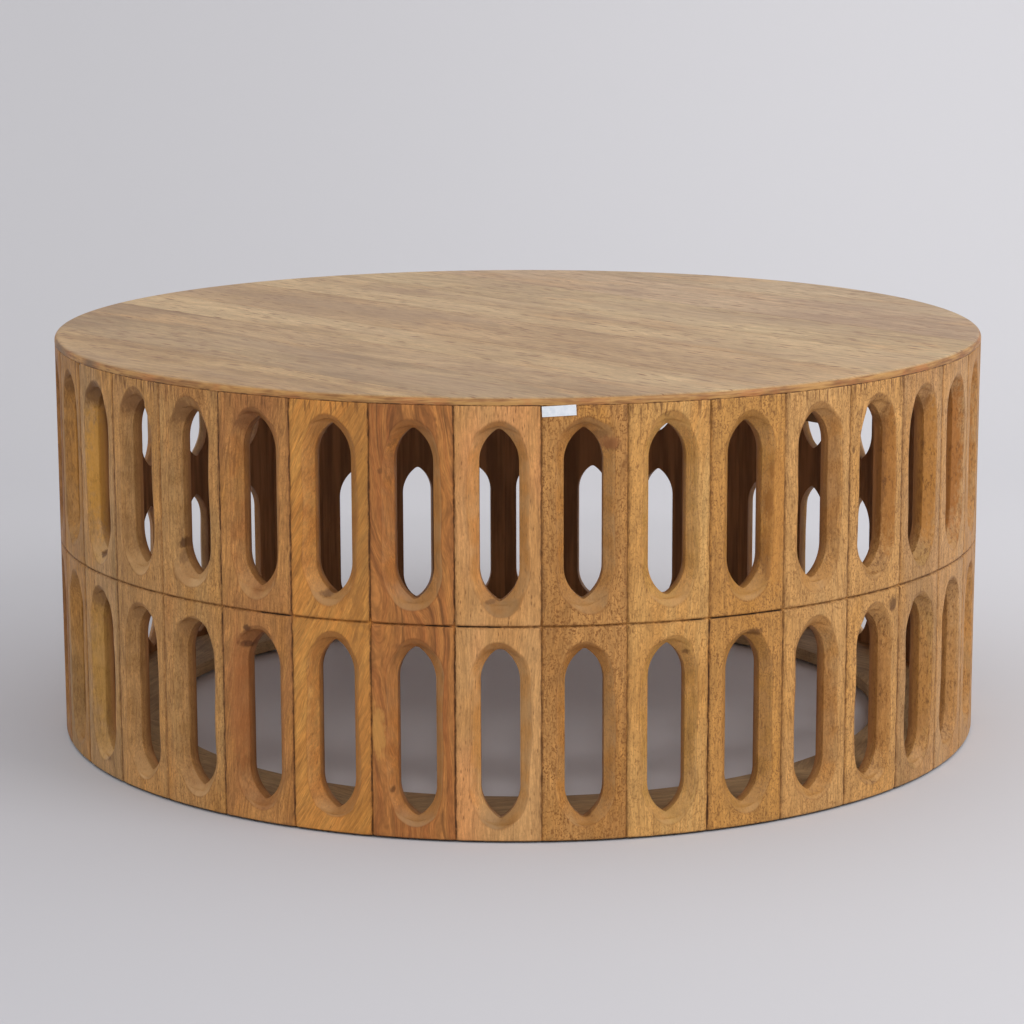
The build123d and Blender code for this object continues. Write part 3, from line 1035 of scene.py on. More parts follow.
def worm_lines(tree, leaning, flow, look, shift):
    """Worms: short crooked lines where a noise crosses its middle, broken up and crowded in places."""
    line = noise(tree, flow, 440, 1, stretch=(1, 1, 0.6), offset=(shift[1], 0.0, 4.0))
    line = sum_of(tree, "ABSOLUTE", sum_of(tree, "SUBTRACT", line, 0.5))
    broken = noise(tree, leaning, 640, 1, stretch=(1, 1, 0.7), offset=(shift[2], 7.0, 0.0))
    crowd = ramp(tree, noise(tree, leaning, 60, 2, offset=(shift[0], 2.0, 6.0)), 0.35, 0.65, 0.6, 1.0)
    line = times(tree, ramp(tree, line, 0.02, 0.12, look["worms"], 0), ramp(tree, broken, 0.44, 0.56))
    return times(tree, line, crowd)


def pore_share(tree, flow, look, shift):
    """Pores: spots in the middle of stretched cells, in a random share of them."""
    cell = moved(tree, flow, location=shift, scale=look["pore_shape"])
    cells = add(tree, "ShaderNodeTexVoronoi", {"Vector": cell, "Scale": look["pore_scale"]})
    chance = add(tree, "ShaderNodeSeparateColor", {0: cells.outputs["Color"]}).outputs[0]
    present = ramp(tree, chance, 1 - look["pores"], 1.1 - look["pores"])
    near = ramp(tree, cells.outputs["Distance"], 0.12, look["pore_size"], 1, 0)
    return times(tree, near, present)


def wood(tree, plank, look, seed):
    """The colour and the height of wood. plank holds across, depth and along, in metres."""
    shift = (seed * 1.37 % 10, seed * 0.71 % 10, seed * 2.13 % 10)
    leaning, flow, across, depth = flow_of(tree, plank, look, shift)
    colour = ring_tones(tree, leaning, across, depth, look, shift)
    fibre, shade = fibre_shade(tree, leaning, flow, look, shift)
    shade = add(tree, "ShaderNodeCombineColor", {0: shade, 1: shade, 2: shade}).outputs[0]
    colour = mix(tree, 1.0, colour, shade, "MULTIPLY")
    streak = noise(tree, flow, look["streak_scale"], 2, stretch=(1, 1, 0.07), offset=(1.0, shift[0], 2.0))
    colour = mix(tree, ramp(tree, streak, 0.55, 0.68, 0, look["streak"]), colour, look["dark"])
    colour = mix(tree, worm_lines(tree, leaning, flow, look, shift), colour, look["dark"])
    pores = pore_share(tree, flow, look, shift)
    colour = mix(tree, times(tree, pores, look["pore_depth"]), colour, look["dark"])
    return colour, sum_of(tree, "MULTIPLY_ADD", pores, -0.8, fibre)


# A plank of the top and a board of the ring take their seeds after those of the staves.
top_seed, ring_seed = 60, 80
print("wood seeds: staves 1 to", stave_count, "top from", top_seed, "ring from", ring_seed)

# %% [markdown]
# ## The staves' finish
#
# The drum was waxed over bare wood, so every stave keeps its own tone: some sandy, some amber,
# two reddish. Each has a light and a deep tone, and its own kind of figure.

# %% Tones and figure of the staves
honey, sand, amber = tone(196, 142, 82), tone(196, 150, 98), tone(186, 124, 56)
ochre, drift, gold = tone(180, 128, 66), tone(164, 126, 78), tone(200, 138, 56)
clay, wheat = tone(142, 92, 46), tone(206, 160, 98)
bark, umber, brown = tone(104, 64, 30), tone(82, 48, 22), tone(120, 76, 36)

stave_tones = {
    38: (drift, ochre), 1: (drift, sand), 2: (tone(204, 150, 88), tone(172, 128, 76)),
    3: (tone(192, 146, 88), tone(188, 130, 70)), 4: (tone(200, 142, 78), tone(168, 110, 60)),
    5: (tone(204, 134, 60), tone(206, 146, 72)), 6: (tone(162, 98, 48), tone(190, 126, 64)),
    7: (tone(206, 156, 99), tone(198, 142, 82)), 8: (tone(194, 140, 78), tone(175, 122, 63)),
    9: (tone(204, 146, 76), tone(208, 160, 95)), 10: (tone(194, 140, 72), tone(190, 134, 68)),
    11: (tone(200, 148, 86), tone(201, 153, 94)), 12: (tone(208, 154, 88), tone(196, 146, 86)),
    13: (tone(198, 148, 94), tone(172, 130, 80)), 14: (tone(198, 144, 84), tone(198, 154, 104)),
    15: (sand, honey), 16: (honey, ochre),
}
stave_features = {
    2: {"worms": 0.45, "streak": 0.25, "dark": brown},
    3: {"worms": 0.5, "streak": 0.25, "dark": brown},
    4: {"streak": 0.4, "worms": 0.35, "dark": brown},
    5: {"streak": 0.3, "lean": -0.45, "pores": 0.1, "worms": 0.05, "fibre": 0.15},
    6: {"rings": 0.6, "ring_pitch": 130, "pith_depth": -0.045, "pores": 0.1, "sway": 0.09,
        "worms": 0.05, "glow": amber, "lean": 0.12, "streak": 0.6, "streak_scale": 190},
    7: {"pores": 0.3, "pore_scale": 520, "streak": 0.15, "rings": 0.2, "glow": tone(224, 152, 94),
        "worms": 0.15, "fibre": 0.13, "lean": 0.0},
    8: {"pores": 0.4, "worms": 0.9, "streak": 0.2, "curl": 0.012, "dark": tone(126, 78, 32),
        "fibre": 0.14},
    9: {"streak": 0.2, "pores": 0.3, "worms": 0.5, "dark": brown, "fibre": 0.13},
    10: {"pores": 0.4, "streak": 0.2, "worms": 0.75, "dark": brown, "fibre": 0.13},
    11: {"streak": 0.25, "pores": 0.35, "worms": 0.55, "dark": brown, "fibre": 0.14},
    12: {"pores": 0.4, "streak": 0.2, "worms": 0.7, "dark": brown, "fibre": 0.14},
    13: {"worms": 0.65, "streak": 0.2, "dark": brown, "fibre": 0.14},
    14: {"worms": 0.55, "streak": 0.2, "dark": brown, "fibre": 0.14},
}
wood_seed = 900


def wood_of_stave(number):
    """The settings of one stave's wood: drawn from a fixed seed, some given one by one."""
    draw = np.random.default_rng(wood_seed + number)
    choices = [honey, sand, ochre, drift, amber, wheat, clay]
    picked = draw.permutation(len(choices))
    light, deep = stave_tones.get(number, (choices[picked[0]], choices[picked[1]]))
    look = {
        **plain_wood, "light": light, "deep": deep, "dark": bark, "glow": gold,
        "pith_across": draw.uniform(-0.03, 0.03), "pith_depth": -draw.uniform(0.05, 0.09),
        "lean": draw.normal(0, 0.05), "pores": draw.uniform(0.15, 0.4),
        "worms": draw.uniform(0.2, 0.5), "streak": draw.uniform(0.25, 0.45),
        "rings": draw.uniform(0.2, 0.45),
    }
    return {**look, **stave_features.get(number, {})}


print("staves with tones chosen by hand:", len(stave_tones))

# %% [markdown]
# Marks are knots and bruises. A patch is a mark with its own colour. Some patches lie in the
# hollow round a slot only: amber wax, with a painted sheen on the left flanks of the leftmost
# staves, and painted shade at the upper ends of the hollows and along some hole walls. A mark
# fades with the distance from its place, counted in its half sizes and roughened by a noise.

# %% Marks and patches
# Each has its place on the stave, across and up, its half sizes in millimetres, and a strength.
marks = {
    1: [(2, 211, 6, 4, 0.8), (10, 19, 6, 3, 0.5)],
    3: [(-16.5, 241, 3, 5, 0.8), (-15, 229, 3.5, 7, 0.45)],
    4: [(-10, 176, 3.5, 3, 0.8), (-14.5, 160, 6, 3.5, 0.9)],
    5: [(-5, 214, 5, 3.5, 0.6)],
    6: [(-19, 44, 2, 3, 0.7), (-27, 325, 2, 3, 0.5)],
    7: [(-7, 213, 5, 2, 0.45)],
    8: [(3, 23, 5, 3, 0.6), (12, 357, 9, 4, 0.4), (24, 348, 8, 5, 0.45)],
    9: [(17, 164, 2.5, 2.5, 0.6)],
    10: [(8, 176, 8, 3.5, 0.6)],
    12: [(27, 177, 6, 7, 0.75), (-20, 378, 1.5, 1.5, 0.6), (-33, 325, 1.5, 3, 0.7)],
}
patches = {
    4: [(-20, 110, 10, 60, 0.5, tone(170, 104, 54))],
    5: [(26, 300, 13, 120, 0.45, tone(146, 98, 46)), (22, 100, 14, 110, 0.3, tone(160, 108, 54))],
    6: [(-31, 95, 7, 24, 0.6, tone(204, 148, 76))],
    8: [(21, 350, 9, 6, 0.6, tone(150, 92, 50))],
    10: [(24, 318, 2, 8, 0.6, brown), (22, 288, 2.6, 14, 0.7, brown), (20, 240, 3, 24, 0.45, brown),
         (28, 280, 10, 70, 0.4, tone(186, 122, 48))],
}
# The dark tones at the upper ends (near 358-362 mm and 168-172 mm) and the dark strips along the hole on
# staves 12 and 13 are painted shade. The amber on staves 38 and 1 is partly a painted sheen.
hollow_tones_and_shade = {
    38: [(-8, 290, 12, 70, 0.5, tone(204, 142, 62)), (-8, 100, 12, 60, 0.4, tone(190, 140, 70)),
         (-9, 358, 16, 13, 0.6, tone(110, 74, 40))],
    1: [(-12, 290, 14, 60, 0.7, tone(212, 152, 58)), (-12, 100, 14, 60, 0.5, tone(196, 148, 70)),
        (-10, 359, 17, 14, 0.75, tone(104, 68, 36)), (-10, 172, 12, 15, 0.5, tone(116, 78, 42))],
    2: [(-12, 361, 17, 13, 0.65, tone(112, 72, 38)), (-12, 169, 14, 9, 0.35, tone(120, 82, 46))],
    3: [(-12, 361, 17, 12, 0.6, tone(116, 76, 40)), (-12, 169, 14, 9, 0.3, tone(120, 82, 46))],
    4: [(-8, 362, 17, 11, 0.55, tone(110, 64, 32)), (-10, 168, 14, 9, 0.4, tone(110, 64, 32))],
    11: [(19, 300, 7, 60, 0.4, tone(150, 98, 48)), (19, 90, 7, 50, 0.35, tone(158, 104, 52))],
    12: [(22, 295, 8, 72, 0.75, tone(170, 110, 44)), (16, 300, 5, 70, 0.6, tone(112, 70, 30)),
         (20, 95, 8, 60, 0.5, tone(180, 120, 54)), (16, 100, 5, 60, 0.4, tone(130, 84, 40))],
    13: [(20, 290, 9, 72, 0.75, tone(180, 120, 48)), (13, 300, 5, 70, 0.6, tone(112, 70, 30)),
         (18, 90, 9, 60, 0.5, tone(182, 124, 60)), (13, 90, 5, 50, 0.4, tone(140, 94, 44))],
    14: [(16, 290, 10, 72, 0.8, tone(168, 104, 38)), (16, 90, 10, 60, 0.4, tone(184, 128, 62))],
    15: [(12, 290, 10, 72, 0.7, tone(176, 112, 46))],
}


def add_marks(tree, number, plank, colour, carved, blots):
    """The colour with one stave's marks and patches on it, with painted shade and sheen in the hollows
    among them.
    """
    spots = [(*mark, umber, 1.0) for mark in marks.get(number, [])]
    spots += [(*patch, 1.0) for patch in patches.get(number, [])]
    spots += [(*patch, carved) for patch in hollow_tones_and_shade.get(number, [])]
    for x, z, wide, high, strength, stain_light_and_shade, where in spots:
        scale = (1000 / wide, 0, 1000 / high)
        reach = length_of(tree, moved(tree, plank, (-x / wide, 0, -z / high), scale=scale))
        reach = sum_of(tree, "MULTIPLY_ADD", blots, 1.6, reach)
        share = times(tree, ramp(tree, reach, 1.4, 2.1, strength, 0), where)
        colour = mix(tree, share, colour, stain_light_and_shade)
    return colour


print("marks:", sum(map(len, marks.values())), "patches:", sum(map(len, patches.values())))

# %% [markdown]
# Dirt stays in the joints, in broken lines, and in the groove, whose dark line is also painted
# shade. Some joints are darker than others, and two of them are cleaner in the upper tier. Under
# the top the wood has fine checks, and a dark line along the foot is a painted shadow of the gap
# under the staves.

# %% Dirt in the joints
upper_seam_shares = {9: 0.3, 10: 0.6}
seam_strengths = {
    38: 0.7, 1: 0.6, 2: 0.15, 3: 0.95, 4: 0.9, 5: 0.9, 6: 0.95, 7: 0.6, 8: 0.35, 9: 1.0, 10: 0.55,
    11: 0.6, 12: 0.6, 13: 0.5, 14: 0.4,
}
seam_seed = 1700


def strength_of_seam(number, upper):
    """How dark the glue line between a stave and the next one is in a tier, from 0 to 1."""
    drawn = np.random.default_rng(seam_seed + number).uniform(0.3, 0.9)
    share = upper_seam_shares.get(number, 1.0) if upper else 1.0
    return seam_strengths.get(number, drawn) * share


def side_strength(tree, number, across, upper):
    """The strength of the joint on the nearer side of a stave, in one tier."""
    before = (number - 2) % stave_count + 1
    strengths = [strength_of_seam(seam, upper) for seam in (before, number)]
    return ramp(tree, across, -0.002, 0.002, *strengths)


def add_dirt(tree, number, plank, colour, place, blots):
    """The colour with dirt in the joints and slits, dirt and painted shade in the groove, and the noise
    that breaks it.
    """
    tiers = [side_strength(tree, number, place[0], upper) for upper in (False, True)]
    side = ramp(tree, place[2], groove_z - 0.001, groove_z + 0.001, *tiers)
    seam, groove = attribute(tree, "seam"), attribute(tree, "groove")
    dashes = noise(tree, plank, 90, 3, 0.65, stretch=(1, 1, 0.8), offset=(0.0, number, 5.0))
    line = sum_of(tree, "MULTIPLY_ADD", dashes, 0.3, seam)
    line = times(tree, ramp(tree, line, 0.9, 1.08), ramp(tree, dashes, 0.4, 0.58, 0.3, 1.0))
    line = times(tree, line, side)
    # Dirt and painted shade: a broken dark line along the middle of the groove.
    groove_dirt_and_shade = times(tree, ramp(tree, groove, 0.7, 0.95), ramp(tree, dashes, 0.4, 0.62, 0.2, 0.7))
    halo = sum_of(tree, "MAXIMUM", ramp(tree, seam, 0.1, 1.0), ramp(tree, groove, 0.1, 1.0))
    halo = times(tree, halo, ramp(tree, blots, 0.4, 0.65, 0.1, 0.5))
    colour = mix(tree, halo, colour, bark)
    colour = mix(tree, sum_of(tree, "MAXIMUM", line, groove_dirt_and_shade), colour, umber)
    return mix(tree, attribute(tree, "slit"), colour, tone(36, 20, 10)), dashes


def darken_ends(tree, number, plank, colour, place, dashes, strength):
    """The colour with checks under the top and a painted shadow of the gap along the foot."""
    checks = noise(tree, plank, 420, 1, stretch=(1, 1, 0.1), offset=(0.0, number, 9.0))
    depth = sum_of(tree, "MULTIPLY_ADD", dashes, 0.03, place[2])
    near_top = ramp(tree, depth, head_z - 0.002, head_z + 0.014)
    checks = times(tree, ramp(tree, checks, 0.52, 0.62), near_top)
    outer = sum_of(tree, "SUBTRACT", 1.0, attribute(tree, "inside"))
    checks = times(tree, times(tree, checks, outer), strength)
    colour = mix(tree, checks, colour, bark)
    # Painted shadow: a dark line along the lowest edge of the face stands for the gap under the foot.
    low = sum_of(tree, "MULTIPLY_ADD", dashes, -0.0016, place[2])
    foot_gap_shadow = ramp(tree, low, foot_z - 0.0006, foot_z + 0.0004, 0.9, 0)
    return mix(tree, foot_gap_shadow, colour, tone(40, 24, 14))


print("the darkest joint:", max(strength_of_seam(number, False) for number in staves))

# %% [markdown]
# The bevels were sanded through the wax and look drier, olive at their lower ends. A bevel's tone also
# depends on the way it faces, which is painted light and shade: the upper ends darker as painted shade, the
# flanks and the lower ends each in their own tone.
# The inside was stained dark, and the stain ran down in drips. Deep in each hole its wall takes on the same
# colour as painted shade.

# %% Stave finish
bevel_tints = [tone(247, 245, 226), tone(244, 232, 222), tone(255, 243, 218), tone(238, 234, 226)]
# How strongly each stave's bevels take the drier sanded tone and the painted light and shade.
sanding_and_shade_of_stave = {
    1: 0.9, 2: 0.9, 3: 0.9, 5: 0.9, 6: 1.0, 7: 1.0, 8: 1.0, 9: 0.5, 10: 0.5, 11: 0.6, 12: 0.35,
    13: 0.4, 14: 0.3,
}
# Painted light and shade at the lower ends: lighter on staves 1 to 3, darker on stave 7.
lower_end_light_and_shade = {1: tone(200, 158, 108), 2: tone(200, 158, 108), 3: tone(198, 160, 116), 7: tone(128, 98, 62)}
specks_of_stave = {38: 0.3, 1: 0.25, 2: 0.2, 11: 0.35, 12: 0.7, 13: 0.7, 14: 0.6, 15: 0.5}
finish_seed = 1500


def sand_and_shade_bevels(tree, number, plank, colour, look, draw):
    """The colour with drier bevels and painted light and shade by the way each bevel faces, how much a
    point is carved, and slow clouds of tone.
    """
    carved, upward, sideways = parts_of(tree, attribute(tree, "carved", "Vector"))
    clouds = noise(tree, plank, 45, 2, offset=(number, 2.0, 0.0))
    at_end = ramp(tree, sum_of(tree, "ABSOLUTE", upward), 0.3, 1.0, 0, 0.6)
    plain = mix(tree, ramp(tree, clouds, 0.35, 0.65), look["light"], look["deep"])
    colour = mix(tree, at_end, colour, plain)
    sanding_and_shade = draw.uniform(0.75, 1.2, 4) * sanding_and_shade_of_stave.get(number, 0.6)
    leftward, downward = times(tree, sideways, -1), times(tree, upward, -1)
    lower_end_light = lower_end_light_and_shade.get(number, tone(158, 126, 86))
    # Painted light and shade by facing, over the drier sanded tone: each flank and the lower ends in their
    # own tone, the upper ends darker.
    sanded_light_and_shade = [
        (ramp(tree, leftward, 0.2, 1.0, 0, 0.2 * sanding_and_shade[0]), tone(190, 148, 98)),
        (ramp(tree, sideways, 0.2, 1.0, 0, 0.45 * sanding_and_shade[1]), tone(178, 140, 94)),
        (ramp(tree, downward, 0.3, 1.0, 0, 0.65 * sanding_and_shade[2]), lower_end_light),
        (ramp(tree, upward, 0.25, 0.9, 0, 0.5 * sanding_and_shade[3]), tone(138, 98, 58)),
    ]
    for share, tint in sanded_light_and_shade:
        colour = mix(tree, share, colour, tint)
    tint = bevel_tints[draw.integers(len(bevel_tints))]
    clouded = times(tree, carved, ramp(tree, clouds, 0.35, 0.65))
    colour = mix(tree, clouded, colour, tint, "MULTIPLY")
    rim = times(tree, carved, sum_of(tree, "SUBTRACT", 1.0, carved))
    return mix(tree, rim, colour, tone(150, 125, 100), "MULTIPLY"), carved, clouds


def stave_wood(number):
    """The finish of one stave."""
    finish, tree, shader = new_finish(f"waxed_stave_{number:02d}")
    look, draw = wood_of_stave(number), np.random.default_rng(finish_seed + number)
    plank = attribute(tree, "plank", "Vector")
    colour, height = wood(tree, plank, look, number)
    colour, carved, clouds = sand_and_shade_bevels(tree, number, plank, colour, look, draw)

    specks = noise(tree, plank, 420, 3, 0.7, stretch=(1, 1, 0.45), offset=(number, 0.0, 3.0))
    specks = ramp(tree, specks, 0.5, 0.64, 0, specks_of_stave.get(number, 0.15))
    specks = times(tree, specks, ramp(tree, clouds, 0.4, 0.6, 0.3, 1.0))
    blots = noise(tree, plank, 300, 3, 0.6, stretch=(1, 1, 0.5), offset=(0.0, number, 0.0))
    colour = add_marks(tree, number, plank, colour, carved, blots)
    colour = mix(tree, times(tree, specks, carved), colour, bark)

    place = parts_of(tree, plank)
    colour, dashes = add_dirt(tree, number, plank, colour, place, blots)
    colour = darken_ends(tree, number, plank, colour, place, dashes, draw.uniform(0.3, 0.8))
    drips = noise(tree, plank, 130, 3, 0.6, stretch=(1, 1, 0.06), offset=(0.0, 0.0, number))
    stain_light_and_shade = mix(tree, ramp(tree, drips, 0.35, 0.7), tone(133, 90, 53), tone(176, 122, 76))
    # The inside's colour: stain on the back, and painted shade on the deep part of the hole walls.
    colour = mix(tree, attribute(tree, "inside"), colour, stain_light_and_shade)
    coat(tree, shader, colour, ramp(tree, clouds, 0.3, 0.7, 0.5, 0.64), height, 0.5, 0.0004, specular=0.3)
    return finish


for number, piece in staves.items():
    piece.data.materials.append(stave_wood(number))
    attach(piece, "root")
    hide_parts(f"stave_{number:02d}")
print("finished staves:", len(staves))

# %% [markdown]
# ## The top's finish
#
# The top is paler than the wall: its planks were sanded flat after the glue-up and only lightly
# waxed. Each plank keeps its own pair of tones, so the joints show as a change of tone more than
# as a line. The rim cuts through the grain and took the wax darker, with flecks, two dark bruises
# and dirt along the joint below. Its pattern runs round the drum, on the direction from the axis.

# %% The rim's colours
rim_stains = [(-2.62, 0.05, 0.7), (-2.86, 0.14, 0.7)]  # direction and half width in radians, strength


def rim_band(tree, place, depth):
    """The rim's colours, on the way round it and the depth below the top."""
    turn = sum_of(tree, "ARCTAN2", place[1], place[0])
    round_rim = vector_of(tree, times(tree, turn, outer_radius), 0.0, depth)
    patch = noise(tree, round_rim, 40, 3, 0.65, stretch=(0.5, 1, 3))
    band = mix(tree, ramp(tree, patch, 0.4, 0.6), tone(184, 136, 76), tone(150, 102, 54))
    red = noise(tree, round_rim, 14, 3, 0.65, offset=(0.9, 0, 0))
    band = mix(tree, ramp(tree, red, 0.5, 0.62, 0, 0.5), band, tone(176, 106, 56))
    fleck = noise(tree, round_rim, 420, 2, stretch=(0.12, 1, 1.6))
    band = mix(tree, ramp(tree, fleck, 0.52, 0.68, 0, 0.5), band, bark)
    band = mix(tree, ramp(tree, fleck, 0.32, 0.46, 0.4, 0), band, wheat)
    for angle, width, strength in rim_stains:
        far_from = sum_of(tree, "ABSOLUTE", sum_of(tree, "SUBTRACT", turn, angle))
        far_from = sum_of(tree, "MULTIPLY_ADD", patch, 0.1, far_from)
        band = mix(tree, ramp(tree, far_from, 0.05, 0.05 + width, strength, 0), band, tone(92, 70, 50))
    dirt = noise(tree, round_rim, 70, 3, 0.65, offset=(0.4, 0, 0))
    dirt = times(tree, ramp(tree, depth, -0.0066, -0.0056, 1, 0), ramp(tree, dirt, 0.4, 0.6))
    return mix(tree, dirt, band, umber)


def from_axis(tree, place):
    """A point's distance from the drum's axis."""
    return length_of(tree, vector_of(tree, place[0], place[1], 0.0))


print("bruises on the rim:", len(rim_stains))

# %% [markdown]
# The rim's colours are kept to the outermost centimetre below the top's edge. The underside
# caught some of the dark stain.

# %% Top finish
plank_tones = [
    (tone(199, 163, 115), tone(164, 129, 87)),
    (tone(185, 153, 111), tone(154, 123, 87)),
    (tone(194, 160, 117), tone(157, 124, 87)),
    (tone(206, 174, 129), tone(175, 141, 99)),
    (tone(199, 163, 118), tone(164, 130, 90)),
    (tone(204, 172, 127), tone(172, 138, 97)),
    (tone(206, 176, 131), tone(176, 144, 103)),
    (tone(200, 168, 130), tone(167, 134, 102)),
    (tone(205, 176, 136), tone(175, 144, 107)),
]
top_look = {
    **plain_wood, "dark": tone(132, 92, 60), "glow": tone(200, 158, 108), "pores": 0.5,
    "pore_scale": 260, "pore_shape": (1, 1, 0.14), "pore_depth": 1.0, "streak": 0.28,
    "streak_scale": 110, "rings": 0.4, "ring_pitch": 70, "sway": 0.08, "sway_scale": 7,
    "patch_scale": 12, "fibre": 0.12, "worms": 0.0,
}


def top_wood(index):
    """The finish of one plank of the top."""
    light, deep = plank_tones[index]
    look = {**top_look, "light": light, "deep": deep, "pith_across": 0.13 * (index % 3) - 0.13}
    finish, tree, shader = new_finish(f"waxed_top_plank_{index + 1}")
    along, across, depth = parts_of(tree, attribute(tree, "plank", "Vector"))
    plank = vector_of(tree, across, depth, along)
    colour, height = wood(tree, plank, look, top_seed + index)
    bloom = noise(tree, plank, 9, 3, 0.6, stretch=(1, 1, 0.35))
    colour = mix(tree, ramp(tree, bloom, 0.45, 0.7, 0, 0.4), colour, tone(164, 134, 106))
    place = parts_of(tree, place_of(tree))
    band = rim_band(tree, place, depth)
    edge = ramp(tree, depth, -0.0016, -0.0003, 1, 0)
    outermost = ramp(tree, from_axis(tree, place), outer_radius - 0.012, outer_radius - 0.008)
    colour = mix(tree, times(tree, edge, outermost), colour, band)
    below = ramp(tree, depth, -0.0078, -0.0072, 0.6, 0)
    colour = mix(tree, below, colour, tone(150, 104, 60))
    colour = mix(tree, times(tree, attribute(tree, "joint"), 0.25), colour, bark)
    coat(tree, shader, colour, 0.5, height, 0.35, specular=0.4)
    return finish


for index, piece in enumerate(planks):
    piece.data.materials.append(top_wood(index))
    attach(piece, "root")
    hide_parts(f"top_plank_{index + 1}")
print("finished planks of the top:", len(planks))

# %% [markdown]
# ## The foot ring's finish
#
# The foot ring was never waxed, so it is pale, and each segment's grain runs straight along its
# chord.

# %% Ring finish
ring_look = {
    **plain_wood, "light": tone(192, 156, 110), "deep": tone(162, 126, 86), "dark": tone(120, 84, 52),
    "glow": tone(186, 142, 92), "rings": 0.5, "ring_pitch": 120, "sway_scale": 8, "streak": 0.25,
    "fibre": 0.12, "worms": 0.0,
}


def ring_wood(index):
    """The finish of one ring segment, whose grain runs along its chord."""
    finish, tree, shader = new_finish(f"ring_wood_{index + 1}")
    middle = ring_first_joint + (index + 0.5) * ring_span
    outward, along, up = parts_of(tree, moved(tree, place_of(tree), rotation=(0, 0, -middle)))
    plank = vector_of(tree, outward, up, along)
    colour, height = wood(tree, plank, ring_look, ring_seed + index)
    coat(tree, shader, colour, 0.6, height, 0.3)
    return finish


for index, piece in enumerate(foot_ring):
    piece.data.materials.append(ring_wood(index))
    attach(piece, "root")
    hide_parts(f"base_ring_segment_{index + 1}")
print("finished boards of the ring:", len(foot_ring))

# %% [markdown]
# ## The glides, the label and the hidden parts
#
# The glides are dark nylon and the label is blank paper. Glue blocks, dowels and screws hide
# behind the wall and under the top. They keep the meshes that came with the frame, and only get
# a finish.

# %% Glides, label and hidden parts
def plain_finish(name, light, deep, roughness, scale=60, metallic=0.0):
    """A finish of two close tones, mottled on the point's place."""
    finish, tree, shader = new_finish(name)
    cloud = noise(tree, place_of(tree), scale, 4, 0.6)
    colour = mix(tree, ramp(tree, cloud, 0.3, 0.7), light, deep)
    coat(tree, shader, colour, roughness, cloud, 0.2, metallic=metallic)
    return finish


glides.data.materials.append(plain_finish("glide_plastic", tone(34, 32, 30), tone(46, 43, 40), 0.45, 900))
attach(glides, "root")
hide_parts("floor_glides")
label.data.materials.append(plain_finish("label_paper", tone(232, 235, 240), tone(216, 222, 230), 0.5, 300))
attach(label, "root")
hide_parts("blank_label")
hidden = {
    "glue_blocks": plain_finish("block_wood", tone(150, 116, 78), tone(124, 90, 56), 0.65),
    "ring_dowels": plain_finish("dowel_wood", tone(190, 156, 110), tone(170, 134, 90), 0.6),
    "block_screws": plain_finish("screw_steel", tone(170, 168, 160), tone(140, 136, 124), 0.35, 700, 1.0),
}
for node, finish in hidden.items():
    for piece in bpy.data.objects:
        if piece.name == node:
            piece.data.materials.clear()
            piece.data.materials.append(finish)
            print(node, "keeps its packed mesh")

# %% [markdown]
# ## Floor and backdrop
#
# The stage is one pale sweep that turns up behind the drum. Its paper carries painted light: it
# is lighter to the right and on the wall, and a painted pool of light lies on the floor inside the
# drum. Its back lets the camera look through, so that the drum can be seen from behind and from
# below.

# %% Stage
stage_near, stage_length, stage_steps = -6, 13.0, 120
stage_half_width, stage_columns = 6, 41
turn_start, turn_radius = 1.3, 1.5


def make_stage():
    """A floor that turns up into a backdrop along a quarter circle."""
    steps = np.full(stage_steps, stage_length / stage_steps)
    length = np.cumsum(np.concatenate([[0], steps])) + stage_near
    bend = np.clip((length - turn_start) / turn_radius, 0, np.pi / 2)
    rise = np.clip(length - turn_start - turn_radius * np.pi / 2, 0, None)
    depth = np.minimum(length, turn_start) + turn_radius * np.sin(bend)
    height = turn_radius * (1 - np.cos(bend)) + rise
    across = np.linspace(-stage_half_width, stage_half_width, stage_columns)
    depth, across = np.meshgrid(depth, across, indexing="ij")
    height = np.broadcast_to(height[:, None], depth.shape)
    points = np.stack([across, depth, height], axis=-1).reshape(-1, 3)
    mesh = bpy.data.meshes.new("studio_sweep")
    mesh.from_pydata(points.tolist(), [], grid_quads(*depth.shape).tolist())
    mesh.shade_smooth()
    piece = bpy.data.objects.new("studio_sweep", mesh)
    bpy.context.collection.objects.link(piece)
    return piece


def stage_paper():
    """Pale paper with painted light: lighter on the wall, to the right, and in a pool inside the drum."""
    finish, tree, shader = new_finish("pale_sweep")
    place = parts_of(tree, place_of(tree))
    # Painted light: the paper lightens towards the right.
    paper = mix(tree, ramp(tree, place[0], -1.2, 1.2), tone(194, 193, 198), tone(212, 211, 215))
    far = ramp(tree, place[1], -0.5, 1.0)
    # Painted light: the wall is lighter than the floor, and lighter to the right.
    wall = mix(tree, ramp(tree, place[0], -1.0, 1.0), tone(207, 206, 210), tone(224, 223, 227))
    paper = mix(tree, far, paper, wall)
    # Painted light: a lighter pool on the floor inside the drum.
    paper = mix(tree, ramp(tree, from_axis(tree, place), 0.34, 0.42, 1, 0), paper, tone(230, 224, 226))
    give(tree, shader, {"Base Color": paper, "Roughness": 0.9, "Specular IOR Level": 0.1})
    from_behind = add(tree, "ShaderNodeNewGeometry").outputs["Backfacing"]
    to_camera = add(tree, "ShaderNodeLightPath").outputs["Is Camera Ray"]
    clear = add(tree, "ShaderNodeBsdfTransparent").outputs[0]
    blend = {0: times(tree, from_behind, to_camera), 1: shader.outputs[0], 2: clear}
    blend = add(tree, "ShaderNodeMixShader", blend).outputs[0]
    give(tree, tree.nodes["Material Output"], {"Surface": blend})
    return finish


sweep = make_stage()
sweep.data.materials.append(stage_paper())
print("the sweep has", len(sweep.data.polygons), "faces")

# %% [markdown]
# ## Light
#
# A bright surround gives soft light from everywhere, as white walls do. The large lamp high on
# the right makes that side a little lighter, and the one high in front throws faint bands of
# light through the slots onto the floor inside.

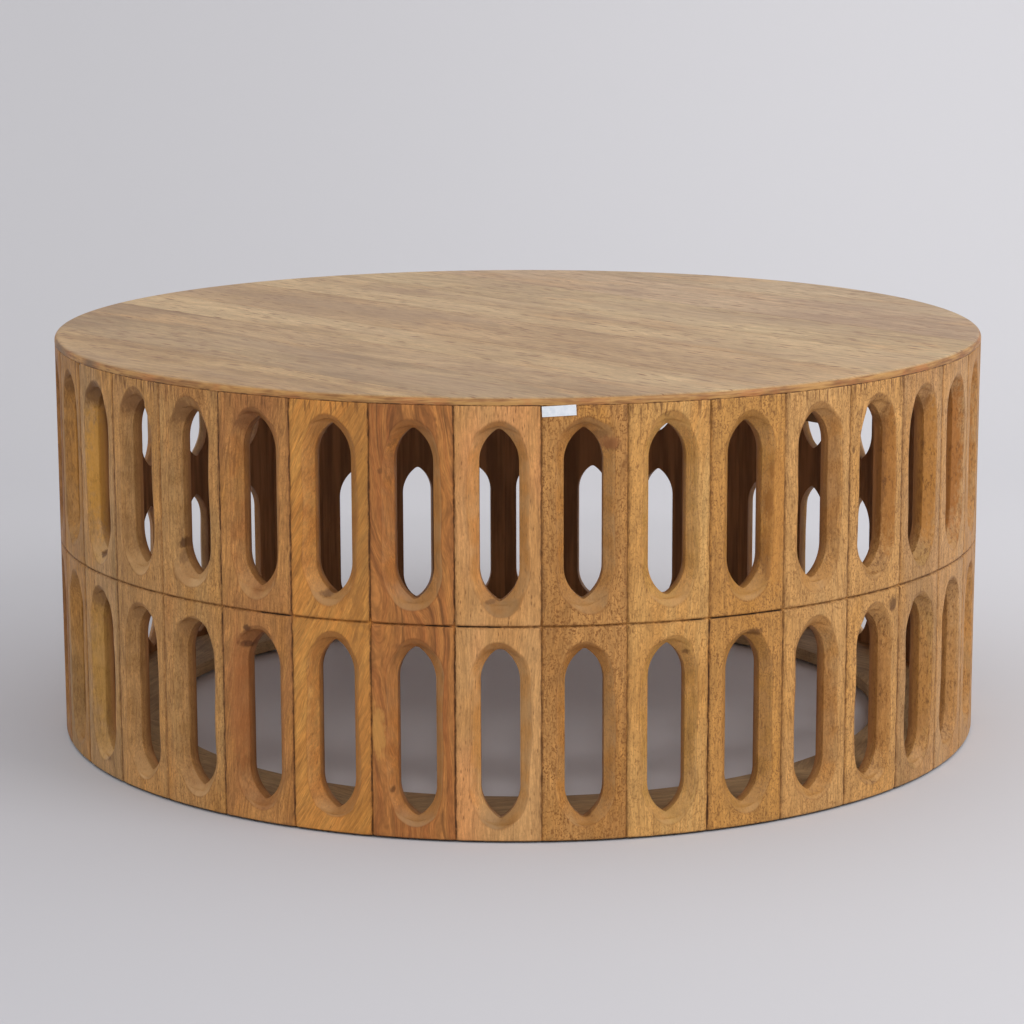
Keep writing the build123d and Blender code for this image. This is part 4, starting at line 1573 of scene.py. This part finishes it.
# %% Light
surround_strength = 0.82
world = bpy.data.worlds.new("studio")
bpy.context.scene.world = world
world.use_nodes = True
world.node_tree.nodes["Background"].inputs[0].default_value = (1, 1, 1, 1)
world.node_tree.nodes["Background"].inputs[1].default_value = surround_strength


def soft_box(name, place, target, size, energy):
    """A square lamp at a place that faces a target."""
    lamp_data = bpy.data.lights.new(name, "AREA")
    lamp_data.size = size
    lamp_data.energy = energy
    lamp = bpy.data.objects.new(name, lamp_data)
    bpy.context.collection.objects.link(lamp)
    aim = Vector(target) - Vector(place)
    lamp.location = place
    lamp.rotation_euler = aim.to_track_quat("-Z", "Y").to_euler()
    return lamp


soft_box("right_lamp", (2.2, -1.6, 2.2), (0, 0, 0.2), 1.8, 31)
soft_box("high_front_lamp", (0.05, -4.8, 4.0), (0, 0, 0.1), 0.6, 36)
print("lamps:", len(bpy.data.lights))

# %% [markdown]
# ## Camera
#
# A long lens about three metres away, at twice the table's height, looks slightly down. The
# place and the angles come from the drum's own proportions: the far rim, the joints between
# staves and the groove at mid height fix them together.

# %% Camera
yaw, pitch, roll = -0.002, 0.1975, -0.003
camera_place = (0, -3.029, 0.8085)
focal_length, sensor_width = 109.37, 36

forward = np.array([np.sin(yaw) * np.cos(pitch), np.cos(yaw) * np.cos(pitch), -np.sin(pitch)])
right = np.array([np.cos(yaw), -np.sin(yaw), 0])
up = np.cross(right, forward)
right_rolled = np.cos(roll) * right + np.sin(roll) * up
up_rolled = np.cos(roll) * up - np.sin(roll) * right
camera_data = bpy.data.cameras.new("camera")
camera_data.lens = focal_length
camera_data.sensor_width = sensor_width
camera = bpy.data.objects.new("camera", camera_data)
bpy.context.collection.objects.link(camera)
turn_matrix = Matrix(np.column_stack([right_rolled, up_rolled, -forward]).tolist()).to_4x4()
camera.matrix_world = Matrix.Translation(camera_place) @ turn_matrix
bpy.context.scene.camera = camera
bpy.context.scene.view_settings.view_transform = "Standard"
print("the camera looks down by", round(np.degrees(pitch), 1), "degrees")
